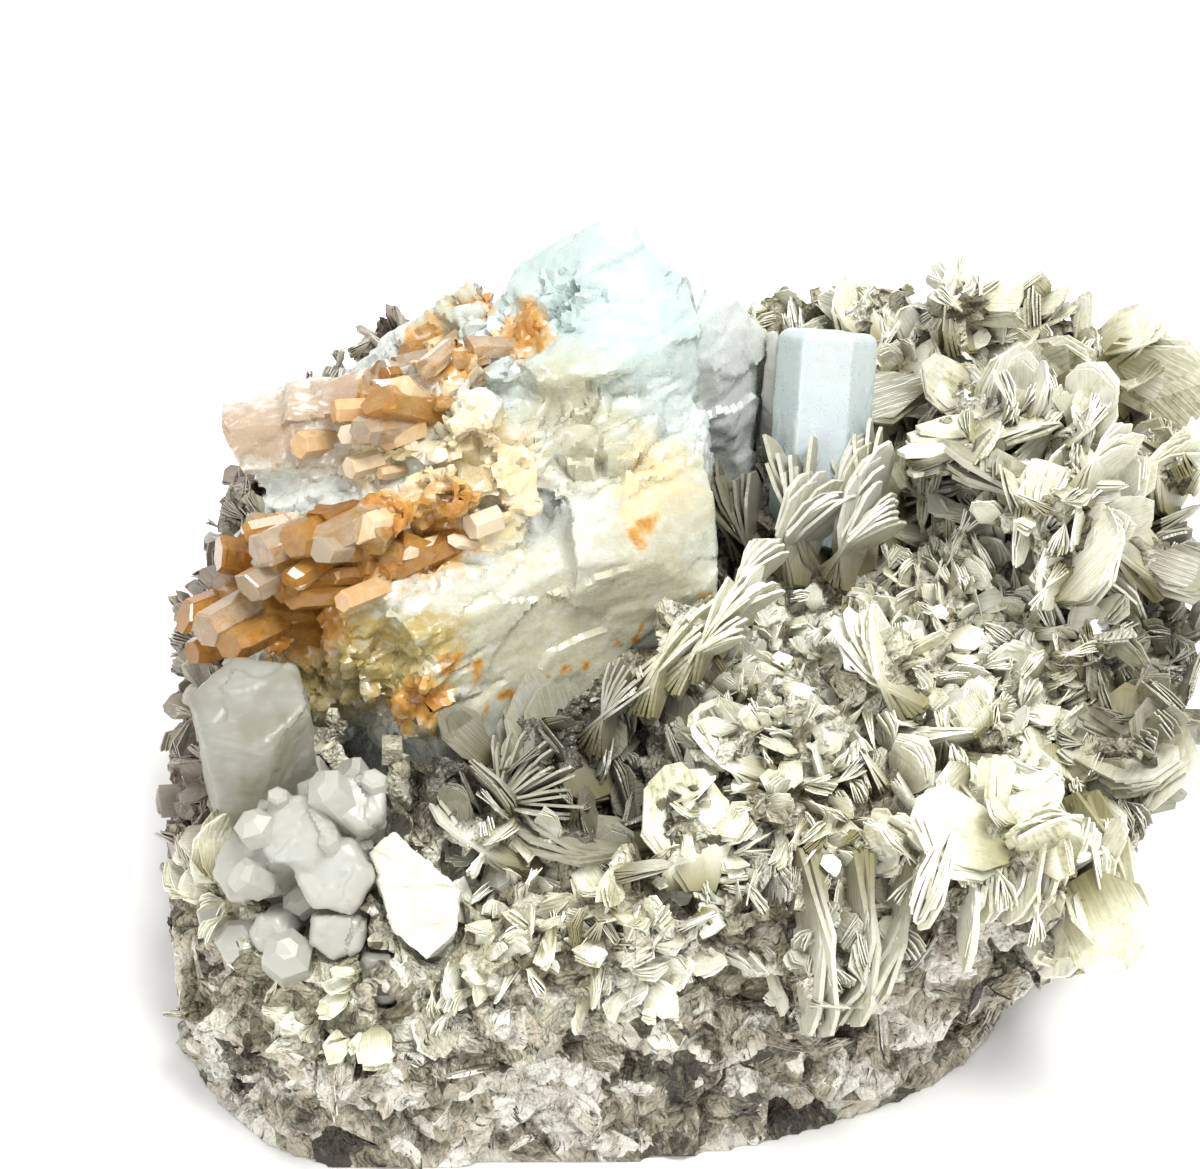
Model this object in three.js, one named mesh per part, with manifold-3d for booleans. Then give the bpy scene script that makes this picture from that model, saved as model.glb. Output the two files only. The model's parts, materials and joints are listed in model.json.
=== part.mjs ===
// Aquamarine crystals standing on a slab of fanned mica leaves.
// Millimetres, +Z up. The origin is on the surface the slab rests on, under the middle of its outline,
// with -Y the broken front wall and +X the side where the mica fans are largest.
import * as THREE from "three";
import { ConvexGeometry } from "three/addons/geometries/ConvexGeometry.js";
import { ImprovedNoise } from "three/addons/math/ImprovedNoise.js";
import { mergeVertices } from "three/addons/utils/BufferGeometryUtils.js";
import Module from "manifold-3d";

// Driving dimensions of the whole specimen.
const WIDTH = 132;
const DEPTH = 108;
const SLAB_HEIGHT = 43;
const PIECE_GAP = 0.35;
const LEAF_THICKNESS = 1.5;
const LEAF_SHOULDER = 0.45;
const FILLING_FANS = 23;
const WALL_LUMPS = 20;
const FINEST_DETAIL = 0.12;

const wasm = await Module();
wasm.setup();

// A small seeded generator, so that every build grows the same mica.
function seeded(seed) {
  let state = seed;
  return () => {
    state = (state * 1664525 + 1013904223) % 4294967296;
    return state / 4294967296;
  };
}

function asSolid(geometry) {
  const bare = geometry.clone().deleteAttribute("normal").deleteAttribute("uv");
  const merged = mergeVertices(bare, 1e-4);
  return new wasm.Manifold(
    new wasm.Mesh({
      numProp: 3,
      vertProperties: merged.attributes.position.array,
      triVerts: new Uint32Array(merged.index.array),
    }),
  );
}

function asGeometry(solid) {
  const mesh = solid.getMesh();
  return new THREE.BufferGeometry()
    .setAttribute("position", new THREE.BufferAttribute(mesh.vertProperties, 3))
    .setIndex(new THREE.BufferAttribute(mesh.triVerts, 1))
    .toNonIndexed();
}

function joined(solids) {
  return wasm.Manifold.union(solids);
}

// Loose crumbs, sealed pockets and slivers left by joining are dropped, and the one rock stays.
function mainBody(solid) {
  const bodies = solid.simplify(FINEST_DETAIL).decompose();
  bodies.sort((a, b) => b.volume() - a.volume());
  return bodies[0];
}

// Convex blocks: a hull of corner points. To cut its socket it is scaled up about its middle, so that
// its nearest face moves out by grow and every other face by a little more.
function block(points, grow = 0) {
  const corners = points.map((p) => new THREE.Vector3(...p));
  const middle = corners.reduce((sum, p) => sum.add(p), new THREE.Vector3()).divideScalar(corners.length);
  const hull = new ConvexGeometry(corners).translate(-middle.x, -middle.y, -middle.z);
  const { position, normal } = hull.attributes;
  let nearest = Infinity;
  for (let i = 0; i < position.count; i += 1) {
    const face = new THREE.Vector3().fromBufferAttribute(normal, i);
    nearest = Math.min(nearest, face.dot(new THREE.Vector3().fromBufferAttribute(position, i)));
  }
  const factor = 1 + grow / nearest;
  return asSolid(hull.scale(factor, factor, factor).translate(middle.x, middle.y, middle.z));
}

// A direction from its compass angle (0 is +X, 90 is +Y) and its lift above the horizon.
function direction(azimuth, lift) {
  const a = THREE.MathUtils.degToRad(azimuth);
  const e = THREE.MathUtils.degToRad(lift);
  return new THREE.Vector3(Math.cos(a) * Math.cos(e), Math.sin(a) * Math.cos(e), Math.sin(e));
}

// The corner points of a six-sided beryl prism. It starts at foot and runs along its own axis;
// bevel narrows its far end, and slant tips that end face over by that many millimetres.
function prismPoints({ foot, azimuth, lift, radius, length, turn = 0, bevel = 0, slant = 0 }) {
  const axis = direction(azimuth, lift);
  const side = new THREE.Vector3(-axis.y, axis.x, 0);
  if (side.lengthSq() < 1e-6) side.set(1, 0, 0);
  side.normalize();
  const up = new THREE.Vector3().crossVectors(axis, side);
  const rings = [
    [0, radius],
    [length - bevel, radius],
  ];
  if (bevel > 0) rings.push([length, radius - bevel]);
  const points = [];
  rings.forEach(([along, ringRadius], ring) => {
    for (let corner = 0; corner < 6; corner += 1) {
      const angle = THREE.MathUtils.degToRad(turn + corner * 60);
      const tip = ring > 0 ? (slant * Math.sin(angle) * ringRadius) / radius : 0;
      const p = new THREE.Vector3(...foot)
        .addScaledVector(axis, along + tip)
        .addScaledVector(side, Math.cos(angle) * ringRadius)
        .addScaledVector(up, Math.sin(angle) * ringRadius);
      points.push(p.toArray());
    }
  });
  return points;
}

// A crystal is the join of convex parts. Its socket is the same join, larger by the piece gap;
// room lists plainer blocks to use there, where the parts are many and small.
function crystal(parts, room = parts) {
  return {
    body: joined(parts.map((points) => block(points))),
    socket: joined(room.map((points) => block(points, PIECE_GAP))),
  };
}

// The large aquamarine: one thick prism lying along the slab, with a broken blue block grown over it.
const LARGE_AXIS = 36;
const LARGE_RADIUS = 21;
const LARGE_FOOT = [-40.5, -6.5, 41];
const LARGE_LENGTH = 40;

function bundlePrisms() {
  // The worn end of the thick prism is a bundle of thinner ones that stop at different lengths.
  const random = seeded(11);
  const axis = direction(LARGE_AXIS, 0);
  const across = direction(LARGE_AXIS + 90, 0);
  const parts = [];
  for (let i = 0; i < 8; i += 1) {
    const angle = THREE.MathUtils.degToRad(-20 + i * 31);
    const radius = 3.8 + 2.4 * random();
    const reach = i % 2 ? 17.6 - radius : 8.5;
    const foot = new THREE.Vector3(...LARGE_FOOT)
      .addScaledVector(axis, -1.5 - 4.5 * random())
      .addScaledVector(across, -Math.cos(angle) * reach);
    foot.z += Math.sin(angle) * reach;
    parts.push(prismPoints({ foot: foot.toArray(), azimuth: LARGE_AXIS, lift: 0, radius, length: 12, turn: 15 }));
  }
  return parts;
}

// Small rust-filled prisms line the seams between the blocks. Each seam is a line that they stand along.
const SEAMS = [
  { from: [-47, -3, 57], to: [-17, 4, 64], count: 7, azimuth: 235, lift: 35, radius: 3.6, length: 8 },
  { from: [-36, 19, 62], to: [-19, 19, 68], count: 5, azimuth: 250, lift: 50, radius: 2.9, length: 8 },
  { from: [-54, 1, 51], to: [-44, -9, 48], count: 3, azimuth: 225, lift: 15, radius: 3.8, length: 8 },
  { from: [-38, 6, 60], to: [-22, 10, 66], count: 4, azimuth: 225, lift: 65, radius: 4.2, length: 6 },
];

function seamPrisms() {
  const random = seeded(5);
  const parts = [];
  for (const seam of SEAMS) {
    for (let i = 0; i < seam.count; i += 1) {
      const t = (i + 0.5) / seam.count;
      const foot = seam.from.map((value, k) => value + (seam.to[k] - value) * t);
      foot[1] += 3 * (random() - 0.5);
      foot[2] -= 2 * random();
      parts.push(
        prismPoints({
          foot,
          azimuth: seam.azimuth + 40 * (random() - 0.5),
          lift: seam.lift + 24 * (random() - 0.5),
          radius: seam.radius * (0.7 + 0.6 * random()),
          length: seam.length * (0.8 + 0.4 * random()),
          turn: 60 * random(),
        }),
      );
    }
  }
  return parts;
}

const BLUE_BLOCK = [
  [-10, 27, 84], [-6, 26.5, 83], [-15, 27, 81], [-20, 27.5, 77], [1, 24, 76], [2, 20, 72],
  [-2, 15.7, 73], [-10, 12.4, 71], [-17, 12.9, 71], [-24.7, 18.5, 70],
  [-10, 40, 66], [-22, 40, 60], [2, 38, 60], [-27, 20, 44], [-10, 8, 44], [3, 14, 44], [2, 38, 36], [-24, 40, 36],
];
const LEFT_SLOPE = [
  [-25, 28.5, 74], [-30, 29.5, 70], [-41.5, 29, 60], [-44, 26, 54], [-25, 18.5, 69], [-38, 18, 57],
  [-40, 37, 50], [-20, 40, 56], [-42, 22, 40], [-20, 16, 40], [-20, 40, 38], [-38, 36, 38],
];
const ROUGH_BLOCK = [
  [-26, 11, 63], [-15, 0, 62], [-5, 3.4, 63], [2.5, 9, 60], [3.5, 17, 63], [-10, 13.5, 69], [-21, 15, 67],
  [-26, 8, 42], [-14, -3, 42], [3.5, 1, 42], [4.5, 20, 42],
];
const RIGHT_LOBE = [
  [7.6, 33.3, 67], [11.4, 33.5, 61], [10, 29.7, 57], [4.5, 24, 62], [0, 30, 72], [1, 23, 70],
  [6, 42, 55], [11.5, 38, 50], [9, 25, 42], [1, 24, 42], [1, 42, 40], [11, 40, 40],
];
const RIGHT_FOOT = [
  [4.4, -1, 47], [4.2, 5, 57], [2.5, 10.5, 61], [-4, -4.4, 56], [-13, -8, 58], [-14, 3, 64], [-5, 4, 64],
  [4, -1, 38], [-14, -8, 38], [4.5, 10, 38], [-14, 10, 38],
];
const STAINED_MIDDLE = [
  [-51, 3, 58], [-46, 3.4, 60], [-40.6, 0, 60], [-31.8, 8, 64.5], [-30, -5, 58], [-17.2, 5.6, 67], [-17, -2, 63],
  [-52, 14, 56], [-30, 20, 64], [-16, 16, 67], [-50, 22, 46], [-28, -10, 40], [-50, 0, 36], [-20, 20, 40],
];
const LEFT_BUNDLE = [
  [-57, -5, 48], [-54.8, -2.2, 53], [-57, -5.3, 42], [-43, -16, 42], [-54, 3, 55], [-46, 3, 59], [-45, -7, 54],
  [-53, 10, 52], [-42, -15, 34], [-56, -2, 34], [-30, 2, 58], [-30, 0, 34], [-50, 10, 34],
];

// A clear, faintly pink prism lies over the seam and points left, with a stepped end.
const CLEAR_PRISM = { azimuth: 187, lift: -3, turn: 0 };
const clearPrism = [
  prismPoints({ ...CLEAR_PRISM, foot: [-30, 13.6, 63.5], radius: 7.2, length: 18.5, bevel: 0.6 }),
  prismPoints({ ...CLEAR_PRISM, foot: [-46, 11.5, 62.2], radius: 6.3, length: 8, bevel: 0.7, slant: 2.6 }),
];

const BLOCKS = [BLUE_BLOCK, LEFT_SLOPE, ROUGH_BLOCK, RIGHT_LOBE, RIGHT_FOOT, STAINED_MIDDLE, LEFT_BUNDLE];
const thickPrism = { azimuth: LARGE_AXIS, lift: 0, radius: LARGE_RADIUS, turn: 15 };
const LONGEST_STEP = 7;
const bundleRoom = new THREE.Vector3(...LARGE_FOOT)
  .addScaledVector(direction(LARGE_AXIS, 0), -LONGEST_STEP)
  .toArray();

const largeAquamarine = crystal(
  [
    prismPoints({ ...thickPrism, foot: LARGE_FOOT, length: LARGE_LENGTH, bevel: 1.2 }),
    ...BLOCKS,
    ...clearPrism,
    ...bundlePrisms(),
    ...seamPrisms(),
  ],
  [prismPoints({ ...thickPrism, foot: bundleRoom, length: LARGE_LENGTH + LONGEST_STEP }), ...BLOCKS],
);

// The pale blue prism that stands out of the mica behind, and the cloudy white one beside it.
const standingAquamarine = crystal([
  prismPoints({ foot: [17.2, 14.5, 42], azimuth: 84, lift: 54, radius: 6.4, length: 27, turn: 0, bevel: 0.9 }),
]);
const cloudyBeryl = crystal([
  [
    [12.6, 31.5, 63], [4.5, 36, 60], [7, 33, 50], [12.4, 27, 52], [13.6, 33, 58], [6, 43, 52],
    [13, 42, 52], [5, 40, 40], [14.5, 40, 40], [12, 28, 40],
  ],
]);

// The squat frosted prism on the left rim, and the cluster of smaller ones in front of it.
const squatBeryl = crystal([
  prismPoints({
    foot: [-50, -24.5, 36],
    azimuth: 250,
    lift: 84,
    radius: 7.6,
    length: 18,
    turn: 8,
    bevel: 1,
    slant: 0.8,
  }),
]);
const berylCluster = crystal([
  prismPoints({ foot: [-43.5, -29, 33], azimuth: 255, lift: 50, radius: 5, length: 14, turn: 10, bevel: 0.7 }),
  prismPoints({ foot: [-46.2, -30, 30], azimuth: 235, lift: 38, radius: 4.6, length: 13, turn: 30, bevel: 0.9 }),
  prismPoints({ foot: [-40.8, -31.5, 31], azimuth: 268, lift: 42, radius: 4.8, length: 13, turn: 0, bevel: 0.8 }),
  prismPoints({ foot: [-38.6, -29.5, 36], azimuth: 280, lift: 62, radius: 3.6, length: 11, turn: 20, bevel: 0.5 }),
]);
const SMALL_BERYLS = [
  { foot: [-45.4, -34, 26], azimuth: 248, lift: 30, radius: 2.8, length: 11, turn: 12 },
  { foot: [-39.6, -35.5, 27.5], azimuth: 262, lift: 34, radius: 3.6, length: 11, turn: 30 },
  { foot: [-35.8, -38, 23], azimuth: 270, lift: 30, radius: 3.6, length: 11, turn: 0 },
  { foot: [-42.6, -37, 22], azimuth: 250, lift: 24, radius: 2.4, length: 10, turn: 0 },
];
const smallBeryls = SMALL_BERYLS.map((size) => crystal([prismPoints({ ...size, bevel: 0.7 })]));

// The white albite: one broad cleaved blade and a shorter one behind it.
const albiteBlade = crystal([
  [
    [-37, -37.5, 40], [-34, -36, 42.5], [-26, -42, 38.5], [-26.4, -45.8, 35], [-30.2, -47.4, 32], [-34, -44.6, 34],
    [-36, -34.5, 33], [-33, -34, 35], [-26.4, -39, 31], [-28.5, -42.5, 27],
  ],
  [
    [-41, -32, 46], [-36, -31.5, 46.5], [-33.5, -35, 43], [-37, -37.5, 40.4], [-40, -30, 37], [-34, -31, 36],
    [-36, -34.5, 34],
  ],
]);

// Outlines of the slab's wall, as [x, y, z] going round from the front: its base, its belly and its rim.
const BASE_RING = [
  [2, -50.5, 0], [20, -45, 0], [34, -37.5, 0], [43, -24, 0], [47, -8, 0], [51, 10, 0], [50, 28, 0], [38, 42, 0],
  [18, 48, 0], [-8, 49, 0], [-32, 45, 0], [-52, 32, 0], [-62, 10, 0], [-64, -12, 0], [-61, -36, 0], [-47, -51, 0],
  [-24, -52, 0],
];
const BELLY_RING = [
  [2, -49.5, 20], [20, -46, 20], [36, -40, 18], [50, -32, 20], [56, -15, 22], [60, 8, 24], [60, 28, 26],
  [48, 46, 26], [22, 52, 26], [-8, 52, 26], [-36, 48, 24], [-58, 34, 24], [-67, 10, 22], [-67.5, -12, 18],
  [-65, -33, 16], [-49, -53.5, 16], [-24, -54, 18],
];
const RIM_RING = [
  [2, -45, 37], [20, -44, 37], [36, -42, 37], [52, -31, 33], [60, -18, 37], [64.5, 3, 40], [64, 22, 47],
  [57, 43, 55], [32, 50, 57], [-6, 49, 52], [-36, 45, 53], [-56, 32, 48], [-59, 10, 42], [-57, -12, 38],
  [-57, -34, 31], [-46, -47, 29], [-24, -46, 34],
];

// Hills and hollows of the slab's top, as round swellings added to the slab height.
const RELIEF = [
  { x: -15, y: -26, rise: -12, radius: 12 },
  { x: 28, y: 28, rise: -7, radius: 9 },
  { x: 14, y: -20, rise: 5, radius: 12 },
  { x: 52, y: 14, rise: 8, radius: 15 },
  { x: 42, y: 40, rise: 9, radius: 14 },
  { x: -8, y: -42, rise: -3, radius: 14 },
  { x: 45, y: -30, rise: -3, radius: 12 },
  { x: -43, y: -38, rise: -5, radius: 9 },
  { x: -30, y: -38, rise: -3, radius: 7 },
];

const noise = new ImprovedNoise();

function slabTop(x, y) {
  let z = SLAB_HEIGHT;
  for (const hill of RELIEF) {
    const away = ((x - hill.x) ** 2 + (y - hill.y) ** 2) / hill.radius ** 2;
    z += hill.rise * Math.exp(-away);
  }
  return z + 1.6 * noise.noise(x * 0.11, y * 0.11, 3.3);
}

const AROUND = 48;
const WALL_ROWS = 5;
const TOP_ROWS = 5;

function ringCurve(points) {
  return new THREE.CatmullRomCurve3(
    points.map((p) => new THREE.Vector3(...p)),
    true,
  );
}

// Curves that run up the wall from its base over its belly to its rim, evenly spaced round the slab.
function wallCurves(count) {
  const base = ringCurve(BASE_RING);
  const belly = ringCurve(BELLY_RING);
  const rim = ringCurve(RIM_RING);
  const curves = [];
  for (let i = 0; i < count; i += 1) {
    const u = i / count;
    const bulge = belly.getPoint(u).multiplyScalar(1.02);
    curves.push(new THREE.QuadraticBezierCurve3(base.getPoint(u), bulge, rim.getPoint(u)));
  }
  return curves;
}

function slab() {
  const walls = wallCurves(AROUND);
  const rows = [];
  for (let row = 0; row <= WALL_ROWS; row += 1) {
    rows.push(
      walls.map((wall) => {
        const p = wall.getPoint(row / WALL_ROWS);
        if (row === 0) return p;
        const outward = new THREE.Vector3(p.x, p.y, 0).normalize();
        const large = 2.2 * noise.noise(p.x * 0.1, p.y * 0.1, p.z * 0.13);
        return p.addScaledVector(outward, large + 1.2 * noise.noise(p.x * 0.3, p.y * 0.3, p.z));
      }),
    );
  }
  const edge = rows[WALL_ROWS];
  for (let row = 1; row < TOP_ROWS; row += 1) {
    const t = 1 - row / TOP_ROWS;
    rows.push(edge.map((p) => new THREE.Vector3(p.x * t, p.y * t, topHeight(p.x * t, p.y * t, t, p.z))));
  }
  return closedLoft(rows, new THREE.Vector3(0, 0, 0), new THREE.Vector3(0, 0, slabTop(0, 0)));
}

// The top keeps its own hills in the middle and meets the rim at the edge, where out is 1.
function topHeight(x, y, out, rimHeight) {
  return THREE.MathUtils.lerp(slabTop(x, y), rimHeight, THREE.MathUtils.smoothstep(out, 0.5, 1));
}

// Joins rings of equal count into one closed skin, with a fan of faces to a point at each end.
function closedLoft(rows, below, above) {
  const points = rows.flat();
  points.push(below, above);
  const faces = [];
  const count = rows[0].length;
  const last = (rows.length - 1) * count;
  for (let i = 0; i < count; i += 1) {
    const next = (i + 1) % count;
    faces.push(points.length - 2, next, i);
    for (let row = 0; row < rows.length - 1; row += 1) {
      const a = row * count;
      faces.push(a + i, a + next, a + count + next, a + i, a + count + next, a + count + i);
    }
    faces.push(last + i, last + next, points.length - 1);
  }
  const geometry = new THREE.BufferGeometry().setFromPoints(points);
  geometry.setIndex(faces);
  return asSolid(geometry);
}

// Fans of mica leaves. A leaf's direction is given as seen by someone in front, looking down at the slab:
// rise is its angle in that view (0 right, 90 up), toward tips it to the viewer, and edge turns the fan
// from face-on (0) to edge-on (90).
const VIEW_LIFT = 42;
const VIEW_RIGHT = new THREE.Vector3(1, 0, 0);
const VIEW_BACK = direction(-90, VIEW_LIFT);
const VIEW_UP = new THREE.Vector3().crossVectors(VIEW_BACK, VIEW_RIGHT);

const FANS = [
  { at: [-22.8, -30, 37], rise: 50, toward: 10, edge: 75, spread: 110, leaves: 5, reach: 11, width: 6 },
  { at: [-12, -24, 36], rise: 118, toward: 0, edge: 35, spread: 25, leaves: 2, reach: 15, width: 16 },
  { at: [-19, -33, 34], rise: 140, toward: 5, edge: 60, spread: 15, leaves: 2, reach: 14, width: 10 },
  { at: [-5, -32, 35], rise: 168, toward: 5, edge: 65, spread: 20, leaves: 3, reach: 15, width: 9 },
  { at: [-31.5, -33, 38], rise: 84, toward: 0, edge: 12, spread: 8, leaves: 3, reach: 11, width: 12 },
  { at: [1, -39, 37], rise: 96, toward: 5, edge: 15, spread: 12, leaves: 3, reach: 13, width: 10 },
  { at: [-5, -15, 43], rise: 50, toward: 0, edge: 68, spread: 30, leaves: 4, reach: 14, width: 9 },
  { at: [9, -27, 42], rise: 140, toward: 15, edge: 40, spread: 60, leaves: 4, reach: 10, width: 8 },
  { at: [14, -38, 38], rise: 272, toward: 5, edge: 70, spread: 10, leaves: 3, reach: 19, width: 9 },
  { at: [20, -38, 38], rise: 268, toward: 5, edge: 68, spread: 12, leaves: 3, reach: 18, width: 9 },
  { at: [26, -38, 38], rise: 250, toward: 5, edge: 72, spread: 20, leaves: 3, reach: 18, width: 9 },
  { at: [30, -33, 43], rise: 300, toward: 30, edge: 25, spread: 50, leaves: 4, reach: 14, width: 16 },
  { at: [37, -31, 42], rise: 285, toward: 20, edge: 30, spread: 40, leaves: 3, reach: 14, width: 14 },
  { at: [47, -27, 34], rise: 268, toward: 10, edge: 50, spread: 30, leaves: 3, reach: 18, width: 15 },
  { at: [56, -13, 40], rise: 250, toward: 20, edge: 30, spread: 40, leaves: 3, reach: 13, width: 14 },
  { at: [50, 25, 58], rise: 255, toward: 20, edge: 45, spread: 50, leaves: 4, reach: 13, width: 12 },
  { at: [47, 24, 57], rise: 202, toward: 10, edge: 65, spread: 20, leaves: 3, reach: 20, width: 10 },
  { at: [50, 12, 53], rise: 170, toward: 8, edge: 70, spread: 16, leaves: 3, reach: 19, width: 10 },
  { at: [59, 4, 47], rise: 128, toward: 10, edge: 60, spread: 16, leaves: 3, reach: 18, width: 11 },
  { at: [46, 4, 51], rise: 90, toward: 50, edge: 30, spread: 130, leaves: 5, reach: 10, width: 12 },
  { at: [31, 33, 52], rise: 190, toward: 10, edge: 35, spread: 15, leaves: 2, reach: 11, width: 8 },
  { at: [9.5, 26, 44], rise: 100, toward: 5, edge: 20, spread: 14, leaves: 2, reach: 10, width: 9 },
  { at: [13, 14, 43], rise: 150, toward: 10, edge: 65, spread: 50, leaves: 4, reach: 10, width: 7 },
  { at: [27, -18, 45], rise: 125, toward: 10, edge: 40, spread: 30, leaves: 3, reach: 13, width: 10 },
  { at: [24, 40, 55], rise: 105, toward: 0, edge: 60, spread: 40, leaves: 2, reach: 8, width: 10 },
  { at: [37, 40, 54], rise: 85, toward: 5, edge: 65, spread: 50, leaves: 3, reach: 9, width: 12 },
  { at: [56, 31, 52], rise: 50, toward: 10, edge: 60, spread: 40, leaves: 3, reach: 10, width: 12 },
  { at: [61, 17, 46], rise: 70, toward: 10, edge: 55, spread: 40, leaves: 2, reach: 10, width: 12 },
];

function seenDirection(rise, toward) {
  const a = THREE.MathUtils.degToRad(rise);
  const b = THREE.MathUtils.degToRad(toward);
  return new THREE.Vector3()
    .addScaledVector(VIEW_RIGHT, Math.cos(a) * Math.cos(b))
    .addScaledVector(VIEW_UP, Math.sin(a) * Math.cos(b))
    .addScaledVector(VIEW_BACK, Math.sin(b));
}

// How much of its full width a leaf has at a share of its reach: narrow at the root, then a blunt tip.
function leafWidth(share) {
  if (share < LEAF_SHOULDER) return THREE.MathUtils.lerp(0.4, 1, Math.max(0, share) / LEAF_SHOULDER);
  return THREE.MathUtils.lerp(1, 0.62, (share - LEAF_SHOULDER) / (1 - LEAF_SHOULDER));
}

// A fan in section is a comb: leaves side by side round a hinge, grown together up to their shoulders.
function fanSection(spread, leaves, reach) {
  const open = THREE.MathUtils.degToRad(spread);
  const step = leaves > 1 ? open / (leaves - 1) : 0.5;
  const half = Math.min(LEAF_THICKNESS, 0.6 * reach * step) / 2;
  const shape = new THREE.Shape();
  shape.moveTo(-0.25 * reach, -1);
  for (let i = 0; i < leaves; i += 1) {
    const angle = leaves > 1 ? i * step - open / 2 : 0;
    const length = reach * (1 - (0.25 * Math.abs(angle)) / Math.max(open / 2, 1e-3)) - 0.5 * (i % 2);
    const along = new THREE.Vector2(Math.cos(angle), Math.sin(angle));
    const across = new THREE.Vector2(-along.y, along.x);
    if (i > 0) {
      const between = angle - step / 2;
      const valley = LEAF_SHOULDER * reach;
      shape.lineTo(Math.cos(between) * valley, Math.sin(between) * valley);
    }
    shape.lineTo(along.x * length - across.x * half, along.y * length - across.y * half);
    shape.lineTo(along.x * length + across.x * half, along.y * length + across.y * half);
  }
  shape.lineTo(-0.25 * reach, 1);
  return shape;
}

function fan({ at, rise, toward, edge, spread, leaves, reach, width }) {
  const middle = seenDirection(rise, toward);
  const flatHinge = new THREE.Vector3().crossVectors(VIEW_BACK, middle).normalize();
  const hinge = flatHinge.applyAxisAngle(middle, THREE.MathUtils.degToRad(edge));
  const normal = new THREE.Vector3().crossVectors(hinge, middle);
  const comb = new THREE.ExtrudeGeometry(fanSection(spread, leaves, reach), { depth: width, bevelEnabled: false });
  comb.translate(0, 0, -width / 2);
  const position = comb.attributes.position;
  for (let i = 0; i < position.count; i += 1) {
    const share = Math.hypot(position.getX(i), position.getY(i)) / reach;
    position.setZ(i, position.getZ(i) * leafWidth(position.getX(i) < 0 ? 0 : share));
  }
  comb.applyMatrix4(new THREE.Matrix4().makeBasis(middle, normal, hinge).setPosition(...at));
  return asSolid(comb);
}

// Smaller fans fill the rest of the top, spaced evenly by a sunflower spiral.
function fillingFans() {
  const random = seeded(23);
  const rim = ringCurve(RIM_RING);
  const made = [];
  for (let i = 0; i < FILLING_FANS; i += 1) {
    const out = 0.95 * Math.sqrt((i + 0.5) / FILLING_FANS);
    const edgePoint = rim.getPoint((i * 0.618034) % 1);
    const x = edgePoint.x * out;
    const y = edgePoint.y * out;
    made.push(
      fan({
        at: [x, y, topHeight(x, y, out, edgePoint.z) - 1],
        rise: 20 + 150 * random(),
        toward: 10 + 40 * random(),
        edge: 90 * random(),
        spread: 35 + 40 * random(),
        leaves: 2,
        reach: 6 + 4 * random(),
        width: 7 + 6 * random(),
      }),
    );
  }
  return made;
}

// Broken lumps of mica and quartz stand a little proud of the wall as ledges.
function wallLumps() {
  const random = seeded(41);
  const walls = wallCurves(WALL_LUMPS);
  return walls.map((wall) => {
    const p = wall.getPoint(0.12 + 0.76 * random());
    const outward = new THREE.Vector3(p.x, p.y * 1.2, 0).normalize();
    const size = 6 + 4.5 * random();
    p.addScaledVector(outward, -0.22 * size);
    const corners = [];
    for (let k = 0; k < 9; k += 1) {
      const way = direction(360 * random(), 180 * random() - 90);
      way.addScaledVector(outward, -0.45 * way.dot(outward));
      const corner = p.clone().addScaledVector(way, size);
      corner.z = Math.max(corner.z, 1);
      corners.push(corner.toArray());
    }
    return block(corners);
  });
}

function micaMatrix(sockets) {
  const outline = new THREE.BoxGeometry(WIDTH, DEPTH, 140).translate(0, 0, 70);
  const grown = joined([slab(), ...FANS.map(fan), ...fillingFans(), ...wallLumps()]);
  return mainBody(grown.subtract(joined(sockets)).intersect(asSolid(outline)));
}

const crystals = [
  ["large_aquamarine", largeAquamarine, "aquamarine"],
  ["standing_aquamarine", standingAquamarine, "aquamarine"],
  ["cloudy_beryl", cloudyBeryl, "frosted"],
  ["squat_beryl", squatBeryl, "frosted"],
  ["beryl_cluster", berylCluster, "frosted"],
  ...smallBeryls.map((small, i) => [`small_beryl_${i + 1}`, small, "frosted"]),
  ["albite_blade", albiteBlade, "albite"],
];

const FINISHES = {
  aquamarine: { color: 0xd3e6e0, roughness: 0.25, transparent: true, opacity: 0.75 },
  frosted: { color: 0xd5dad6, roughness: 0.45, transparent: true, opacity: 0.85 },
  albite: { color: 0xf2f1ea, roughness: 0.5 },
  mica: { color: 0xb4ae92, roughness: 0.38 },
};

function finish(name) {
  return new THREE.MeshStandardMaterial({ metalness: 0, flatShading: true, ...FINISHES[name] });
}

const specimen = new THREE.Group();
const sockets = [];

// Each later crystal is cut back by the sockets of the earlier ones, so that touching pieces keep a gap.
for (const [name, { body, socket }, material] of crystals) {
  const clear = sockets.length ? body.subtract(joined(sockets)) : body;
  sockets.push(socket);
  const mesh = new THREE.Mesh(asGeometry(mainBody(clear)), finish(material));
  mesh.name = name;
  specimen.add(mesh);
}

const matrix = new THREE.Mesh(asGeometry(micaMatrix(sockets)), finish("mica"));
matrix.name = "mica_matrix";
specimen.add(matrix);

export default specimen;
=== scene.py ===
# %% [markdown]
# # Aquamarine on mica
#
# A hand specimen: a slab built of mica leaves, with aquamarine and frosted beryl prisms grown out of it.
# The solids of the frame give every crystal its place and size. This lesson gives them their surfaces:
# leaves, cleavage steps, etched faces, rust in the seams, and see-through beryl.

import json

import bmesh
import bpy
import numpy as np
from mathutils import Matrix, Vector, noise
from mathutils.bvhtree import BVHTree
from mathutils.kdtree import KDTree

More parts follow.
